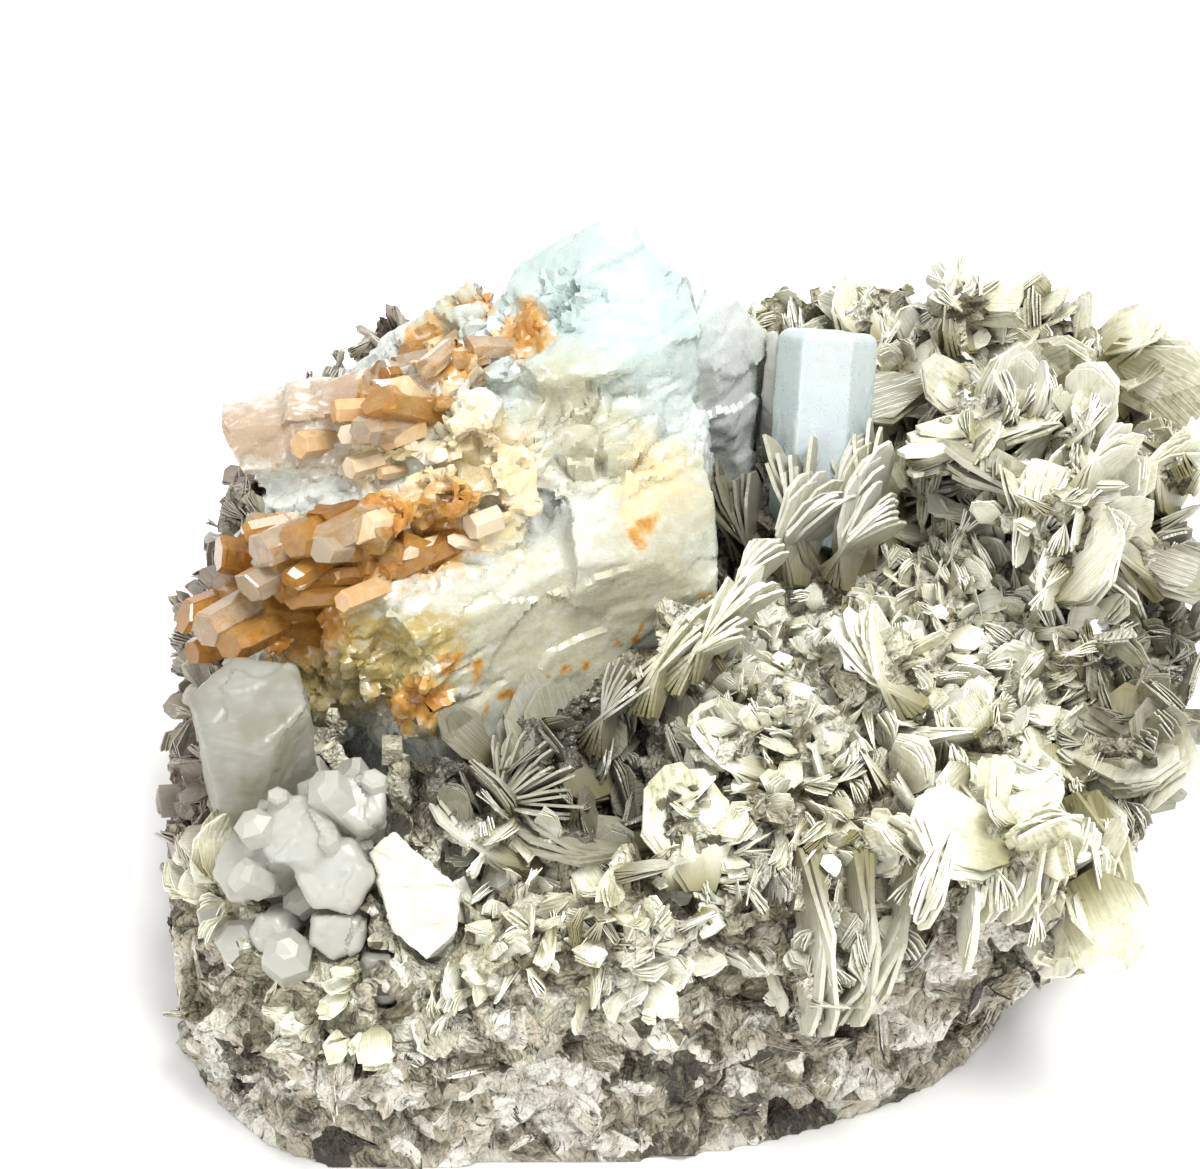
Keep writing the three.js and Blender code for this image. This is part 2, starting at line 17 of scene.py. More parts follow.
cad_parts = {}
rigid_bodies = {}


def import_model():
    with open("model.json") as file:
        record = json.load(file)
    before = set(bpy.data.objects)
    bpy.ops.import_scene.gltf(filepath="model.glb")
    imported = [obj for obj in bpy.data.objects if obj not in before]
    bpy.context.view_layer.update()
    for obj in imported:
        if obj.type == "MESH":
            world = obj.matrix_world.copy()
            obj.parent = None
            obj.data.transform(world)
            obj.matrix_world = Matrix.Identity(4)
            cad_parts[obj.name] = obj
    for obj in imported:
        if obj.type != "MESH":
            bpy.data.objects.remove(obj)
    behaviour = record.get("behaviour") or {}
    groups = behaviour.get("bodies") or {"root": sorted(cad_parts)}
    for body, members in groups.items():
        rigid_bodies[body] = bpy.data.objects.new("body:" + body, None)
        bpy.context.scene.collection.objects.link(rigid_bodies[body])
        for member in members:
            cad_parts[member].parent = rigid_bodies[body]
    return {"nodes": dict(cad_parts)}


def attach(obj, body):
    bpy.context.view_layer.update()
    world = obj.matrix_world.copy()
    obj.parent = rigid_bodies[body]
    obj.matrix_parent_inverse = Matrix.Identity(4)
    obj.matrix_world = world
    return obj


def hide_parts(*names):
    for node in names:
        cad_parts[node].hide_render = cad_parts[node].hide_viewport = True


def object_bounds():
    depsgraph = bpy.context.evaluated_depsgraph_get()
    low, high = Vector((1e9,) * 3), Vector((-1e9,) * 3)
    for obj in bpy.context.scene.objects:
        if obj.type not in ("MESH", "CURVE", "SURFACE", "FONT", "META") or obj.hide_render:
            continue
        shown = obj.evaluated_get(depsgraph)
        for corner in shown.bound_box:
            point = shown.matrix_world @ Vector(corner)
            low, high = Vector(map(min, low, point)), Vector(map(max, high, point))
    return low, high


for old in list(bpy.data.objects):
    bpy.data.objects.remove(old)
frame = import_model()
cad_box = [list(corner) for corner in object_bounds()]
MM = 0.001
print("frame nodes:", ", ".join(sorted(frame["nodes"])))

# %% [markdown]
# ## Small helpers
#
# Colours are written as they look on a screen and turned to linear light by one function. One function adds
# any node with its settings and its links, for shader trees and geometry trees alike.

# %% Helpers for colours, nodes and meshes
def colour(code):
    """An sRGB hex colour as linear RGBA."""
    channels = [int(code[i : i + 2], 16) / 255 for i in (1, 3, 5)]
    return (*(c / 12.92 if c <= 0.04045 else ((c + 0.055) / 1.055) ** 2.4 for c in channels), 1.0)


def put(tree, kind, inputs=None, **settings):
    """Adds a node. settings are its properties; inputs are values, or sockets to link from."""
    made = tree.nodes.new(kind)
    for key, value in settings.items():
        setattr(made, key, value)
    for key, value in (inputs or {}).items():
        if isinstance(value, bpy.types.NodeSocket):
            tree.links.new(value, made.inputs[key])
        else:
            made.inputs[key].default_value = value
    return made


def new_material(name):
    mat = bpy.data.materials.new(name)
    mat.use_nodes = True
    return mat, mat.node_tree, mat.node_tree.nodes["Principled BSDF"]


def wire(tree, shader, **sockets):
    for key, socket in sockets.items():
        tree.links.new(socket, shader.inputs[key.replace("_", " ")])


def bumped(tree, height, strength, distance):
    """A normal raised by a pattern, over a distance in metres."""
    inputs = {"Strength": strength, "Distance": distance, "Height": height}
    return put(tree, "ShaderNodeBump", inputs).outputs["Normal"]


def mesh_of(obj, name):
    """The evaluated mesh of obj, modifiers applied, as a new plain mesh."""
    graph = bpy.context.evaluated_depsgraph_get()
    mesh = bpy.data.meshes.new_from_object(obj.evaluated_get(graph), depsgraph=graph)
    mesh.name = name
    return mesh


def points_of(mesh, key="co"):
    flat = np.empty(len(mesh.vertices) * 3, dtype=np.float32)
    mesh.vertices.foreach_get(key, flat)
    return flat.reshape(-1, 3).astype(float)


def normals_of(mesh):
    return points_of(mesh, "normal")


def move_points(mesh, points):
    mesh.vertices.foreach_set("co", np.asarray(points, dtype=np.float32).ravel())
    mesh.update()


def keep_values(mesh, name, values):
    """Stores one number per vertex, for a material or a geometry tree to read."""
    values = np.asarray(values, dtype=np.float32)
    if values.ndim == 1:
        layer = mesh.attributes.new(name, "FLOAT", "POINT")
        layer.data.foreach_set("value", values)
    else:
        layer = mesh.attributes.new(name, "FLOAT_VECTOR", "POINT")
        layer.data.foreach_set("vector", values.ravel())


def keep_all(mesh, **values):
    """Stores several values, each under its own name."""
    for name, value in values.items():
        keep_values(mesh, name, value)


def drop_values(mesh, kept_names):
    """Leaves only the named values on a grown mesh, beside those that Blender itself needs."""
    for extra in [a.name for a in mesh.attributes if not a.name.startswith(".")]:
        if extra not in (*kept_names, "position", "material_index", "sharp_face"):
            mesh.attributes.remove(mesh.attributes[extra])


def averaged(mesh, values, rounds, share=1.0):
    """The values per vertex, moved a number of times towards the mean of their neighbours."""
    edges = np.empty(len(mesh.edges) * 2, dtype=np.int64)
    mesh.edges.foreach_get("vertices", edges)
    edges = edges.reshape(-1, 2)
    count = np.maximum(np.bincount(edges.ravel(), minlength=len(values)), 1)
    if values.ndim > 1:
        count = count[:, None]
    for _ in range(rounds):
        total = np.zeros_like(values)
        for a, b in ((0, 1), (1, 0)):
            np.add.at(total, edges[:, a], values[edges[:, b]])
        values = (1 - share) * values + share * total / count
    return values


def object_of(mesh, name):
    obj = bpy.data.objects.new(name, mesh)
    bpy.context.scene.collection.objects.link(obj)
    return obj


def grain(points, size, seed=0.0, depth=1):
    """Smooth noise from -1 to 1 at each point, with lumps of about size millimetres."""
    scaled = points / (size * MM) + seed
    if depth == 1:
        return np.array([noise.noise(p) for p in scaled.tolist()])
    return np.array([noise.fractal(p, 0.9, 2.1, depth) for p in scaled.tolist()])


def cad_mesh(node, voxel):
    """A node's shape as an even, closed mesh of small squares, voxel millimetres wide."""
    source = frame["nodes"][node]
    work = bmesh.new()
    work.from_mesh(source.data)
    bmesh.ops.remove_doubles(work, verts=work.verts, dist=2e-6)
    mesh = bpy.data.meshes.new(node + "_even")
    work.to_mesh(mesh)
    work.free()
    obj = object_of(mesh, node + "_even")
    even = obj.modifiers.new("Even squares", "REMESH")
    even.mode = "VOXEL"
    even.voxel_size = voxel * MM
    bpy.context.view_layer.update()
    result = mesh_of(obj, node + "_surface")
    bpy.data.objects.remove(obj)
    return result


def tree_of_faces(*nodes):
    """A search tree of the nodes' faces, to find what is nearest and what a line of sight meets."""
    work = bmesh.new()
    for node in nodes:
        work.from_mesh(frame["nodes"][node].data)
    tree = BVHTree.FromBMesh(work)
    work.free()
    return tree


def finish_piece(obj, slot, material, *replaced):
    """Gives the piece its material and the root body, and hides the nodes that it takes the place of. The slot
    is not used.
    """
    obj.data.materials.append(material)
    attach(obj, "root")
    if replaced:
        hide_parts(*replaced)
    triangles = sum(len(p.vertices) - 2 for p in obj.data.polygons)
    print(obj.name, "triangles:", triangles)


# %% [markdown]
# ## Camera, floor and light
#
# The specimen is seen from in front and 42 degrees above, from about half a metre. The light is that of a
# white product table: a large soft light above, weaker ones in front on the left and behind, and a pale floor.

# %% Camera, floor and light
VIEW_LIFT = np.radians(42.0)
LOOK_AT = Vector((-10.0, 14.5, 35.0)) * MM
DISTANCE = 450.0 * MM
FOCAL_PIXELS = 3510.0
PICTURE = (1200, 1169)
SIGHT_RANGE = 2.0

look = Vector((0, np.cos(VIEW_LIFT), -np.sin(VIEW_LIFT)))
view_up = Vector((0, np.sin(VIEW_LIFT), np.cos(VIEW_LIFT)))
view_right = Vector((1, 0, 0))
eye = LOOK_AT - look * DISTANCE

camera = bpy.data.objects.new("camera", bpy.data.cameras.new("camera"))
bpy.context.scene.collection.objects.link(camera)
camera.location = eye
camera.rotation_euler = (np.pi / 2 - VIEW_LIFT, 0, 0)
camera.data.sensor_width = 36
camera.data.lens = 36 * FOCAL_PIXELS / PICTURE[0]
camera.data.clip_start = 0.01
bpy.context.scene.camera = camera


def sight(x, y):
    """The direction in which a point of the picture lies, as seen from the camera."""
    across = (x - PICTURE[0] / 2) / FOCAL_PIXELS
    down = (y - PICTURE[1] / 2) / FOCAL_PIXELS
    return (look + view_right * across - view_up * down).normalized()


def picture_of(points):
    """Where points are seen in the picture, in its pixels."""
    away = points - np.array(eye)
    depth = away @ np.array(look)
    px = PICTURE[0] / 2 + FOCAL_PIXELS * (away @ np.array(view_right)) / depth
    py = PICTURE[1] / 2 - FOCAL_PIXELS * (away @ np.array(view_up)) / depth
    return px, py


def seen_on(tree, px, py):
    """The point of a surface that is seen at a point of the picture, or None."""
    return tree.ray_cast(eye, sight(px, py), SIGHT_RANGE)[0]


def patch(points, ellipses, soft=0.4):
    """How far each point lies inside any of the ellipses: each is x, y, half width and half height."""
    px, py = picture_of(points)
    inside = np.zeros(len(points))
    for x, y, wide, high in ellipses:
        away = np.hypot((px - x) / wide, (py - y) / high)
        inside = np.maximum(inside, np.clip((1 + soft / 2 - away) / soft, 0, 1))
    return inside


floor_mesh = bpy.data.meshes.new("floor")
floor_mesh.from_pydata([(-3, -3, 0), (3, -3, 0), (3, 3, 0), (-3, 3, 0)], [], [(0, 1, 2, 3)])
floor = object_of(floor_mesh, "floor")
paper, paper_tree, paper_shader = new_material("white paper table")
paper_place = put(paper_tree, "ShaderNodeTexCoord").outputs["Object"]
paper_fibre = put(paper_tree, "ShaderNodeTexNoise", {"Vector": paper_place, "Scale": 900.0, "Detail": 3.0})
wire(paper_tree, paper_shader, Normal=bumped(paper_tree, paper_fibre.outputs["Fac"], 0.05, 0.0001))
paper_shader.inputs["Base Color"].default_value = colour("#F4F3F0")
paper_shader.inputs["Roughness"].default_value = 0.8
floor.data.materials.append(paper)


def soft_light(name, place, size, power, tint):
    data = bpy.data.lights.new(name, "AREA")
    data.shape = "DISK"
    data.size = size
    data.energy = power
    data.color = colour(tint)[:3]
    lamp = bpy.data.objects.new(name, data)
    lamp.location = place
    lamp.rotation_euler = (Vector((0, 0, 0.03)) - lamp.location).to_track_quat("-Z", "Y").to_euler()
    bpy.context.scene.collection.objects.link(lamp)


soft_light("large soft light above", Vector((0.22, -0.12, 0.9)), 0.42, 9.0, "#FDFEFF")
soft_light("soft light in front", Vector((-0.5, -0.7, 0.45)), 0.4, 2.5, "#FFFFFF")
soft_light("soft light behind", Vector((0.1, 0.8, 0.5)), 0.4, 3.0, "#FFFFFF")
world = bpy.data.worlds.new("white room")
bpy.context.scene.world = world
world.use_nodes = True
world.node_tree.nodes["Background"].inputs["Color"].default_value = colour("#F6F7F8")
world.node_tree.nodes["Background"].inputs["Strength"].default_value = 0.92
bpy.context.scene.view_settings.view_transform = "Standard"
# A path of light ends after a few surfaces. That keeps the render short; the deepest gaps come out a little
# darker for it.
light_paths = bpy.context.scene.cycles
light_paths.max_bounces = 6
light_paths.diffuse_bounces = 2
light_paths.glossy_bounces = 1
light_paths.transmission_bounces = 5
light_paths.caustics_reflective = False

# %% [markdown]
# ## Mica material
#
# Mica cleaves into pearly leaves. Each leaf keeps its own tone between silver white and olive, is painted
# darker towards its root as painted shade, and is paler on its thin torn edge. Leaves in the hollows and
# shaded places get painted shade too. Fine lines along the leaf are the edges of torn layers. Its
# refractive index of about 1.58 gives the soft mirror glints.

# %% Mica material
def millimetres(tree):
    """The place on the object in millimetres, so that pattern scales are real sizes."""
    return scaled(tree, put(tree, "ShaderNodeTexCoord").outputs["Object"], 1 / MM)


def cloud(tree, place, scale, detail=4.0, roughness=0.6):
    inputs = {"Vector": place, "Scale": scale, "Detail": detail, "Roughness": roughness}
    return put(tree, "ShaderNodeTexNoise", inputs).outputs["Fac"]


def value_of(tree, name):
    return put(tree, "ShaderNodeAttribute", attribute_name=name).outputs["Fac"]


def number_step(tree, operation, a, b):
    return put(tree, "ShaderNodeMath", {0: a, 1: b}, operation=operation).outputs[0]


def plus(tree, a, b):
    return number_step(tree, "ADD", a, b)


def times(tree, a, b):
    return number_step(tree, "MULTIPLY", a, b)


def spread_out(tree, value, low, high, to_low=0.0, to_high=1.0):
    inputs = {"Value": value, "From Min": low, "From Max": high, "To Min": to_low, "To Max": to_high}
    return put(tree, "ShaderNodeMapRange", inputs).outputs["Result"]


def blend(tree, share, under, over):
    return put(tree, "ShaderNodeMix", {0: share, 6: under, 7: over}, data_type="RGBA").outputs[2]


def tones(tree, value, *stops):
    ramp = put(tree, "ShaderNodeValToRGB", {"Fac": value})
    elements = ramp.color_ramp.elements
    elements[0].position, elements[0].color = stops[0][0], colour(stops[0][1])
    elements[1].position, elements[1].color = stops[-1][0], colour(stops[-1][1])
    for position, code in stops[1:-1]:
        elements.new(position).color = colour(code)
    return ramp.outputs["Color"]


def vector_step(tree, operation, inputs):
    return put(tree, "ShaderNodeVectorMath", inputs, operation=operation).outputs[0]


def scaled(tree, vector, scale):
    return vector_step(tree, "SCALE", {0: vector, "Scale": scale})


def added(tree, a, b):
    return vector_step(tree, "ADD", {0: a, 1: b})


def unit(tree, vector):
    return vector_step(tree, "NORMALIZE", {0: vector})


def crossed(tree, a, b):
    return vector_step(tree, "CROSS_PRODUCT", {0: a, 1: b})


def centred(tree, vector):
    """A colour or noise vector, moved so that it lies about zero."""
    return vector_step(tree, "SUBTRACT", {0: vector, 1: (0.5, 0.5, 0.5)})


def leaf_lines(tree):
    """Fine lines along a leaf, from the place in the leaf's own plane."""
    own = put(tree, "ShaderNodeAttribute", attribute_name="own").outputs["Vector"]
    long_lines = put(tree, "ShaderNodeMapping", {"Vector": own, "Scale": (16, 1.3, 1)}).outputs[0]
    return cloud(tree, long_lines, 1.0, 1.0, 0.7)


def mica_leaf_material(name, stops, shine):
    mat, tree, shader = new_material(name)
    place = millimetres(tree)
    tone = value_of(tree, "tone")
    lines = leaf_lines(tree)
    mixed = plus(tree, times(tree, tone, 0.6), cloud(tree, place, 0.05, 0.0))
    mixed = plus(tree, mixed, times(tree, cloud(tree, place, 0.9, 2.0, 0.75), 0.9))
    mixed = plus(tree, mixed, times(tree, lines, 0.7))
    leaf = tones(tree, spread_out(tree, mixed, 0.84, 1.84), *stops)
    leaf = blend(tree, times(tree, value_of(tree, "edge"), 0.12), leaf, colour("#F1EFE2"))
    # Painted shade: each leaf is darker and more olive towards its root.
    away_from_root = spread_out(tree, value_of(tree, "tip"), 0.0, 0.5)
    leaf = blend(tree, away_from_root, colour("#8F875F"), leaf)
    # Painted shade on leaves in the hollows and the shaded places.
    leaf = blend(tree, times(tree, value_of(tree, "dark"), 0.85), leaf, colour("#5A5540"))
    # Purple-brown at the back and on the left: partly iron stain, partly painted shadow.
    leaf = blend(tree, value_of(tree, "purple"), leaf, colour("#6D5A52"))
    dull = spread_out(tree, tone, 0, 1, shine + 0.25, shine)
    wire(tree, shader, Base_Color=leaf, Roughness=dull, Normal=bumped(tree, lines, 0.6, 0.0003))
    shader.inputs["IOR"].default_value = 1.58
    return mat


mica_leaf = mica_leaf_material(
    "muscovite leaves",
    ((0, "#716D50"), (0.2, "#A8A583"), (0.45, "#D3D1B4"), (0.7, "#E8E6CE"), (1, "#F5F4E6")),
    0.2,
)

# %% [markdown]
# ## Rock material
#
# Between the leaves the rock is a tight mass of broken mica, quartz and feldspar: pale and pinkish plates
# on the wall and olive on top, painted darker as shade in the hollows, and purple-brown at the back and on
# the left, partly iron stain and partly painted shadow. The plates and the cracks between them are kept on
# the surface as values; two finer patterns add grains of one millimetre.

# %% Rock material
mica_rock, rock, rock_shader = new_material("broken mica rock")
rock_place = millimetres(rock)
rock_drift = put(rock, "ShaderNodeTexNoise", {"Vector": rock_place, "Scale": 0.35, "Detail": 1.0})
rock_warped = added(rock, rock_place, scaled(rock, rock_drift.outputs["Color"], 3.0))
# Each book of the rock lies its own way: the colour of its cell turns the lines inside it.
rock_books = put(rock, "ShaderNodeTexVoronoi", {"Vector": rock_warped, "Scale": 0.24}).outputs["Color"]
rock_turns = {"Vector": rock_warped, "Rotation": scaled(rock, rock_books, 6.0)}
rock_turned = put(rock, "ShaderNodeVectorRotate", rock_turns, rotation_type="EULER_XYZ").outputs[0]
rock_layers = put(rock, "ShaderNodeMapping", {"Vector": rock_turned, "Scale": (0.3, 0.3, 2.6)}).outputs[0]
rock_lines = cloud(rock, rock_layers, 1.0, 3.0, 0.7)
rock_grain = cloud(rock, rock_place, 0.9, 3.0, 0.75)
rock_tone = plus(rock, times(rock, value_of(rock, "tone"), 0.7), rock_lines)
rock_tone = plus(rock, rock_tone, times(rock, rock_grain, 0.7))
rock_tone = plus(rock, rock_tone, put(rock, "ShaderNodeSeparateXYZ", {0: rock_books}).outputs[0])
rock_share = spread_out(rock, rock_tone, 1.15, 2.15)
wall_rock = tones(
    rock, rock_share,
    (0, "#3A352A"), (0.16, "#736E5B"), (0.36, "#A19C86"),
    (0.5, "#BFB19E"), (0.66, "#CAC5B5"), (1, "#E6E2D6"),
)
top_rock = tones(rock, rock_share, (0, "#5C563F"), (0.25, "#928C72"), (0.6, "#BFBBA2"), (1, "#E2E0CE"))
rock_colour = blend(rock, value_of(rock, "wall"), top_rock, wall_rock)
rock_cracks = times(rock, value_of(rock, "crack"), spread_out(rock, rock_grain, 0.4, 0.6))
rock_cracks = number_step(rock, "MAXIMUM", rock_cracks, spread_out(rock, rock_lines, 0.38, 0.3))
rock_streaks = spread_out(rock, rock_lines, 0.43, 0.37)
rock_streaks = times(rock, rock_streaks, spread_out(rock, rock_grain, 0.54, 0.46))
# Cracks and streaks are the rock's own colour; the kept shade value is painted shade, and purple is partly
# iron stain, partly painted shadow.
for share, tint in (
    (times(rock, rock_cracks, 0.8), "#3E392C"),
    (rock_streaks, "#26241D"),
    (times(rock, value_of(rock, "dark"), 0.8), "#2B281E"),
    (value_of(rock, "purple"), "#5A463F"),
):
    rock_colour = blend(rock, share, rock_colour, colour(tint))
wire(
    rock, rock_shader,
    Base_Color=rock_colour,
    Roughness=spread_out(rock, rock_share, 0.2, 1.0, 0.65, 0.22),
    Normal=bumped(rock, cloud(rock, rock_place, 1.3, 1.0, 0.75), 0.9, 0.0008),
)
rock_shader.inputs["IOR"].default_value = 1.57

# %% [markdown]
# ## The bed
#
# The bed is the rock between the leaves. It keeps the solid's shape but lies a little lower, where the rock
# is thick, so that the leaves stand out of dark hollows. It broke along the cleavage of its mica, so its
# surface is cut into small flat plates that tilt every way, with cracks between them.

# %% The bed of mica rock
CRYSTAL_NODES = [name for name in frame["nodes"] if name != "mica_matrix"]
crystals_near = tree_of_faces(*CRYSTAL_NODES)
matrix_near = tree_of_faces("mica_matrix")

# The bed in HOLLOW lies lower and is also painted darker; SECOND_HOLLOW and SHADED only get painted shade.
HOLLOW = [(520, 765, 100, 48), (610, 810, 60, 55), (450, 790, 50, 40), (600, 720, 120, 30)]
SECOND_HOLLOW = [(750, 500, 45, 60), (900, 400, 60, 18), (960, 470, 60, 25)]
SHADED = [
    (1155, 740, 70, 150), (1160, 590, 55, 110), (740, 450, 60, 90), (820, 950, 120, 90), (800, 500, 95, 75),
]
MOUND = [(815, 705, 90, 75)]
SHELLS = [(1010, 860, 120, 85), (940, 790, 70, 50)]
CROWN = [(1060, 400, 130, 110), (1100, 540, 90, 70), (930, 450, 80, 80)]
SMALL_LEAVES = [(900, 580, 220, 70), (1040, 650, 150, 80), (850, 640, 100, 60)]
RIM = [(610, 880, 110, 50), (500, 900, 90, 40)]
UPRIGHT_BOOKS = [(800, 940, 110, 90), (690, 930, 60, 80), (400, 940, 40, 60), (1060, 830, 60, 90)]


def cleaved(points, spacing, tilt, seed):
    """Cuts a surface into tilted plates: each point's move, its plate's tone and the crack beside it."""
    random = np.random.RandomState(seed)
    low, high = points.min(0), points.max(0)
    count = 6 + int(np.prod((high - low) / (spacing * MM)))
    centres = low + (high - low) * random.rand(count, 3)
    tilts = tilt * random.randn(count, 3)
    steps = random.randn(count) * 0.12 * spacing
    plate_tones = random.rand(count)
    index = KDTree(count)
    for i, centre in enumerate(centres.tolist()):
        index.insert(centre, i)
    index.balance()
    drift = np.stack([grain(points, spacing * 0.6, s) for s in (1, 5, 9)], axis=1)
    warped = points + 0.22 * spacing * MM * drift
    found = [index.find_n(p, 2) for p in warped.tolist()]
    nearest = np.array([f[0][1] for f in found])
    border = np.array([f[1][2] - f[0][2] for f in found]) / MM
    move = np.sum((points - centres[nearest]) * tilts[nearest], axis=1) / MM + steps[nearest]
    crack = np.exp(-((border / 0.45) ** 2))
    return np.clip(move, -0.35 * spacing, 0.35 * spacing), plate_tones[nearest], crack


BED_SQUARE = 0.84  # millimetres; a finer one would pass 200,000 triangles
THICK_ENOUGH, FREE_ENOUGH = 30.0, 6.0  # millimetres; beyond these the bed is as deep and as rough as it gets
bed_mesh = cad_mesh("mica_matrix", BED_SQUARE)
points = points_of(bed_mesh)
normals = normals_of(bed_mesh)
thick = np.empty(len(points))
free = np.empty(len(points))
for i, (p, n) in enumerate(zip(points.tolist(), normals.tolist())):
    p, n = Vector(p), Vector(n)
    met = matrix_near.ray_cast(p - n * 0.4 * MM, -n, THICK_ENOUGH * MM)
    thick[i] = met[3] / MM if met[0] is not None else THICK_ENOUGH
    found = crystals_near.find_nearest(p, FREE_ENOUGH * MM)
    free[i] = found[3] / MM if found[0] is not None else FREE_ENOUGH

up = normals[:, 2]
wall = np.clip((0.45 - up) / 0.3, 0, 1) * np.clip(1.2 - (points[:, 2] / MM - 30) / 12, 0, 1)
grounded = np.clip(points[:, 2] / MM / 2.0, 0, 1)
hollow = patch(points, HOLLOW) * np.clip((points[:, 2] / MM - 22) / 4, 0, 1)
depth = np.minimum(2.6 + 1.6 * hollow, 0.16 * thick) * (0.35 + 0.65 * np.clip(up, 0, 1))
depth *= grounded * np.clip((free - 0.8) / 3.0, 0, 1)
depth = averaged(bed_mesh, depth, 6)
large_move, large_tone, large_crack = cleaved(points, 6.0, 0.3, 3)
small_move, small_tone, small_crack = cleaved(points, 2.6, 0.35, 4)
rough = 0.75 * large_move + 0.6 * small_move - 0.7 * large_crack - 0.35 * small_crack - 0.5
rough += 0.25 * grain(points, 1.4, 3.0)
rough *= grounded * np.clip(free / 1.5, 0, 1)
moved = points + normals * ((rough - depth) * MM)[:, None]
moved[:, 2] = np.maximum(moved[:, 2], 0.0)
move_points(bed_mesh, moved)

# Purple-brown at the back and on the left: partly iron stain, partly painted shadow.
ragged = 26 * grain(points, 13.0, 5.0) + 12 * grain(points, 4.0, 6.0)
behind = np.clip((points[:, 1] / MM - 18 + 0.5 * ragged) / 20, 0, 1)
behind *= np.clip((-4 - points[:, 0] / MM + ragged) / 34, 0, 1)
left = np.clip((-50 - points[:, 0] / MM) / 6, 0, 1) * np.clip((points[:, 1] / MM + 30) / 12, 0, 1)
purple = np.clip(0.8 * np.maximum(behind, left) * (1 + 0.8 * grain(points, 9.0, 4.0)), 0, 0.85)
# Painted shade in the hollows and on the far right.
dark = np.maximum(hollow, 0.8 * patch(points, SECOND_HOLLOW) * np.clip(up * 2, 0, 1))
dark = np.maximum(dark, 0.4 * patch(points, [(1150, 650, 75, 180)]))
keep_all(
    bed_mesh,
    tone=0.55 * large_tone + 0.45 * small_tone,
    crack=np.clip(large_crack + 0.6 * small_crack, 0, 1),
    wall=wall,
    dark=dark,
    purple=purple,
)
bed = object_of(bed_mesh, "mica_bed")
bed_mesh.shade_flat()
finish_piece(bed, "mica", mica_rock, "mica_matrix")

# %% [markdown]
# ## One leaf
#
# Mica crystals are flat and six-sided, but most leaves are torn. A few different outlines are drawn as thin
# closed plates, one unit long and wide; the trees below turn, size and repeat them. The broad ones have a
# ring of points inside, so that they can curve like a shell. Each point remembers how far it is from the
# root, and each face whether it is the leaf's thin edge.

# %% Leaf shapes
FINE = (
    [(-0.16, -0.15), (0.16, -0.15), (0.46, 0.3), (0.42, 0.78), (0.05, 1.0), (-0.36, 0.84), (-0.46, 0.33)],
    [(-0.1, -0.15), (0.1, -0.15), (0.22, 0.35), (0.27, 0.92), (0.04, 1.06), (-0.18, 0.97), (-0.24, 0.4)],
    [(-0.26, -0.12), (0.28, -0.12), (0.6, 0.35), (0.5, 0.82), (0.12, 0.9), (-0.42, 0.88), (-0.6, 0.3)],
)
BROAD = [
    (-0.2, -0.15), (0.2, -0.15), (0.44, 0.2), (0.52, 0.52), (0.4, 0.85),
    (0.12, 1.0), (-0.18, 0.97), (-0.46, 0.74), (-0.5, 0.28),
]


def leaf_mesh(name, seed, corners, ringed, bow, dish, thickness=0.03, ragged=0.045):
    random = np.random.RandomState(seed)
    outline = np.array(corners) + ragged * random.randn(len(corners), 2)
    n = len(outline)
    rings = [outline]
    if ringed:
        middle = np.array([0.0, 0.45])
        rings += [middle + 0.55 * (outline - middle), middle[None]]
    flat = np.concatenate(rings)
    height = bow * flat[:, 1] ** 2 + dish * 4 * flat[:, 0] ** 2
    top = [(x, y, z + thickness / 2) for (x, y), z in zip(flat, height)]
    under = [(x, y, z - thickness) for x, y, z in top]
    m = len(top)
    around = [(i, (i + 1) % n) for i in range(n)]
    if ringed:
        upper = [(i, j, n + j, n + i) for i, j in around] + [(n + i, n + j, 2 * n) for i, j in around]
    else:
        upper = [tuple(range(n))]
    lower = [tuple(m + i for i in reversed(face)) for face in upper]
    rim = [(i, m + i, m + j, j) for i, j in around]
    mesh = bpy.data.meshes.new(name)
    mesh.from_pydata(top + under, [], upper + lower + rim)
    keep_values(mesh, "tip", [max(0.0, p[1]) for p in top + under])
    keep_values(mesh, "own", [(x + seed, y, 0.0) for x, y, z in top + under])
    layer = mesh.attributes.new("edge", "FLOAT", "FACE")
    layer.data.foreach_set("value", [0.0] * (2 * len(upper)) + [1.0] * n)
    return mesh


def shape_collection(name, meshes):
    group = bpy.data.collections.new(name)
    for mesh in meshes:
        group.objects.link(bpy.data.objects.new(mesh.name, mesh))
    return group


FINE_BOWS = (0.0, 0.08, -0.07, 0.04)
BROAD_BOWS = ((0.0, 0.0), (0.07, 0.02), (-0.06, 0.015), (0.03, -0.01))
fine_leaves = shape_collection(
    "fine leaves",
    [leaf_mesh(f"fine_leaf_{k}", 20 + k, FINE[k % 3], False, FINE_BOWS[k % 4], 0.02) for k in range(6)],
)
broad_leaves = shape_collection(
    "broad leaves", [leaf_mesh(f"broad_leaf_{k}", 40 + k, BROAD, True, *BROAD_BOWS[k]) for k in range(4)]
)

# %% [markdown]
# ## Opening fans
#
# A fan is a book of leaves that share a hinge at the root and spread apart. This geometry tree reads one
# point per fan, with its direction, its hinge, how wide it opens and how large it is, and puts the leaves
# in place. All the leaves of one fan have the same outline, so that they nest as the layers of one crystal.
# The same tree serves the fans with places of their own and the scattered ones.

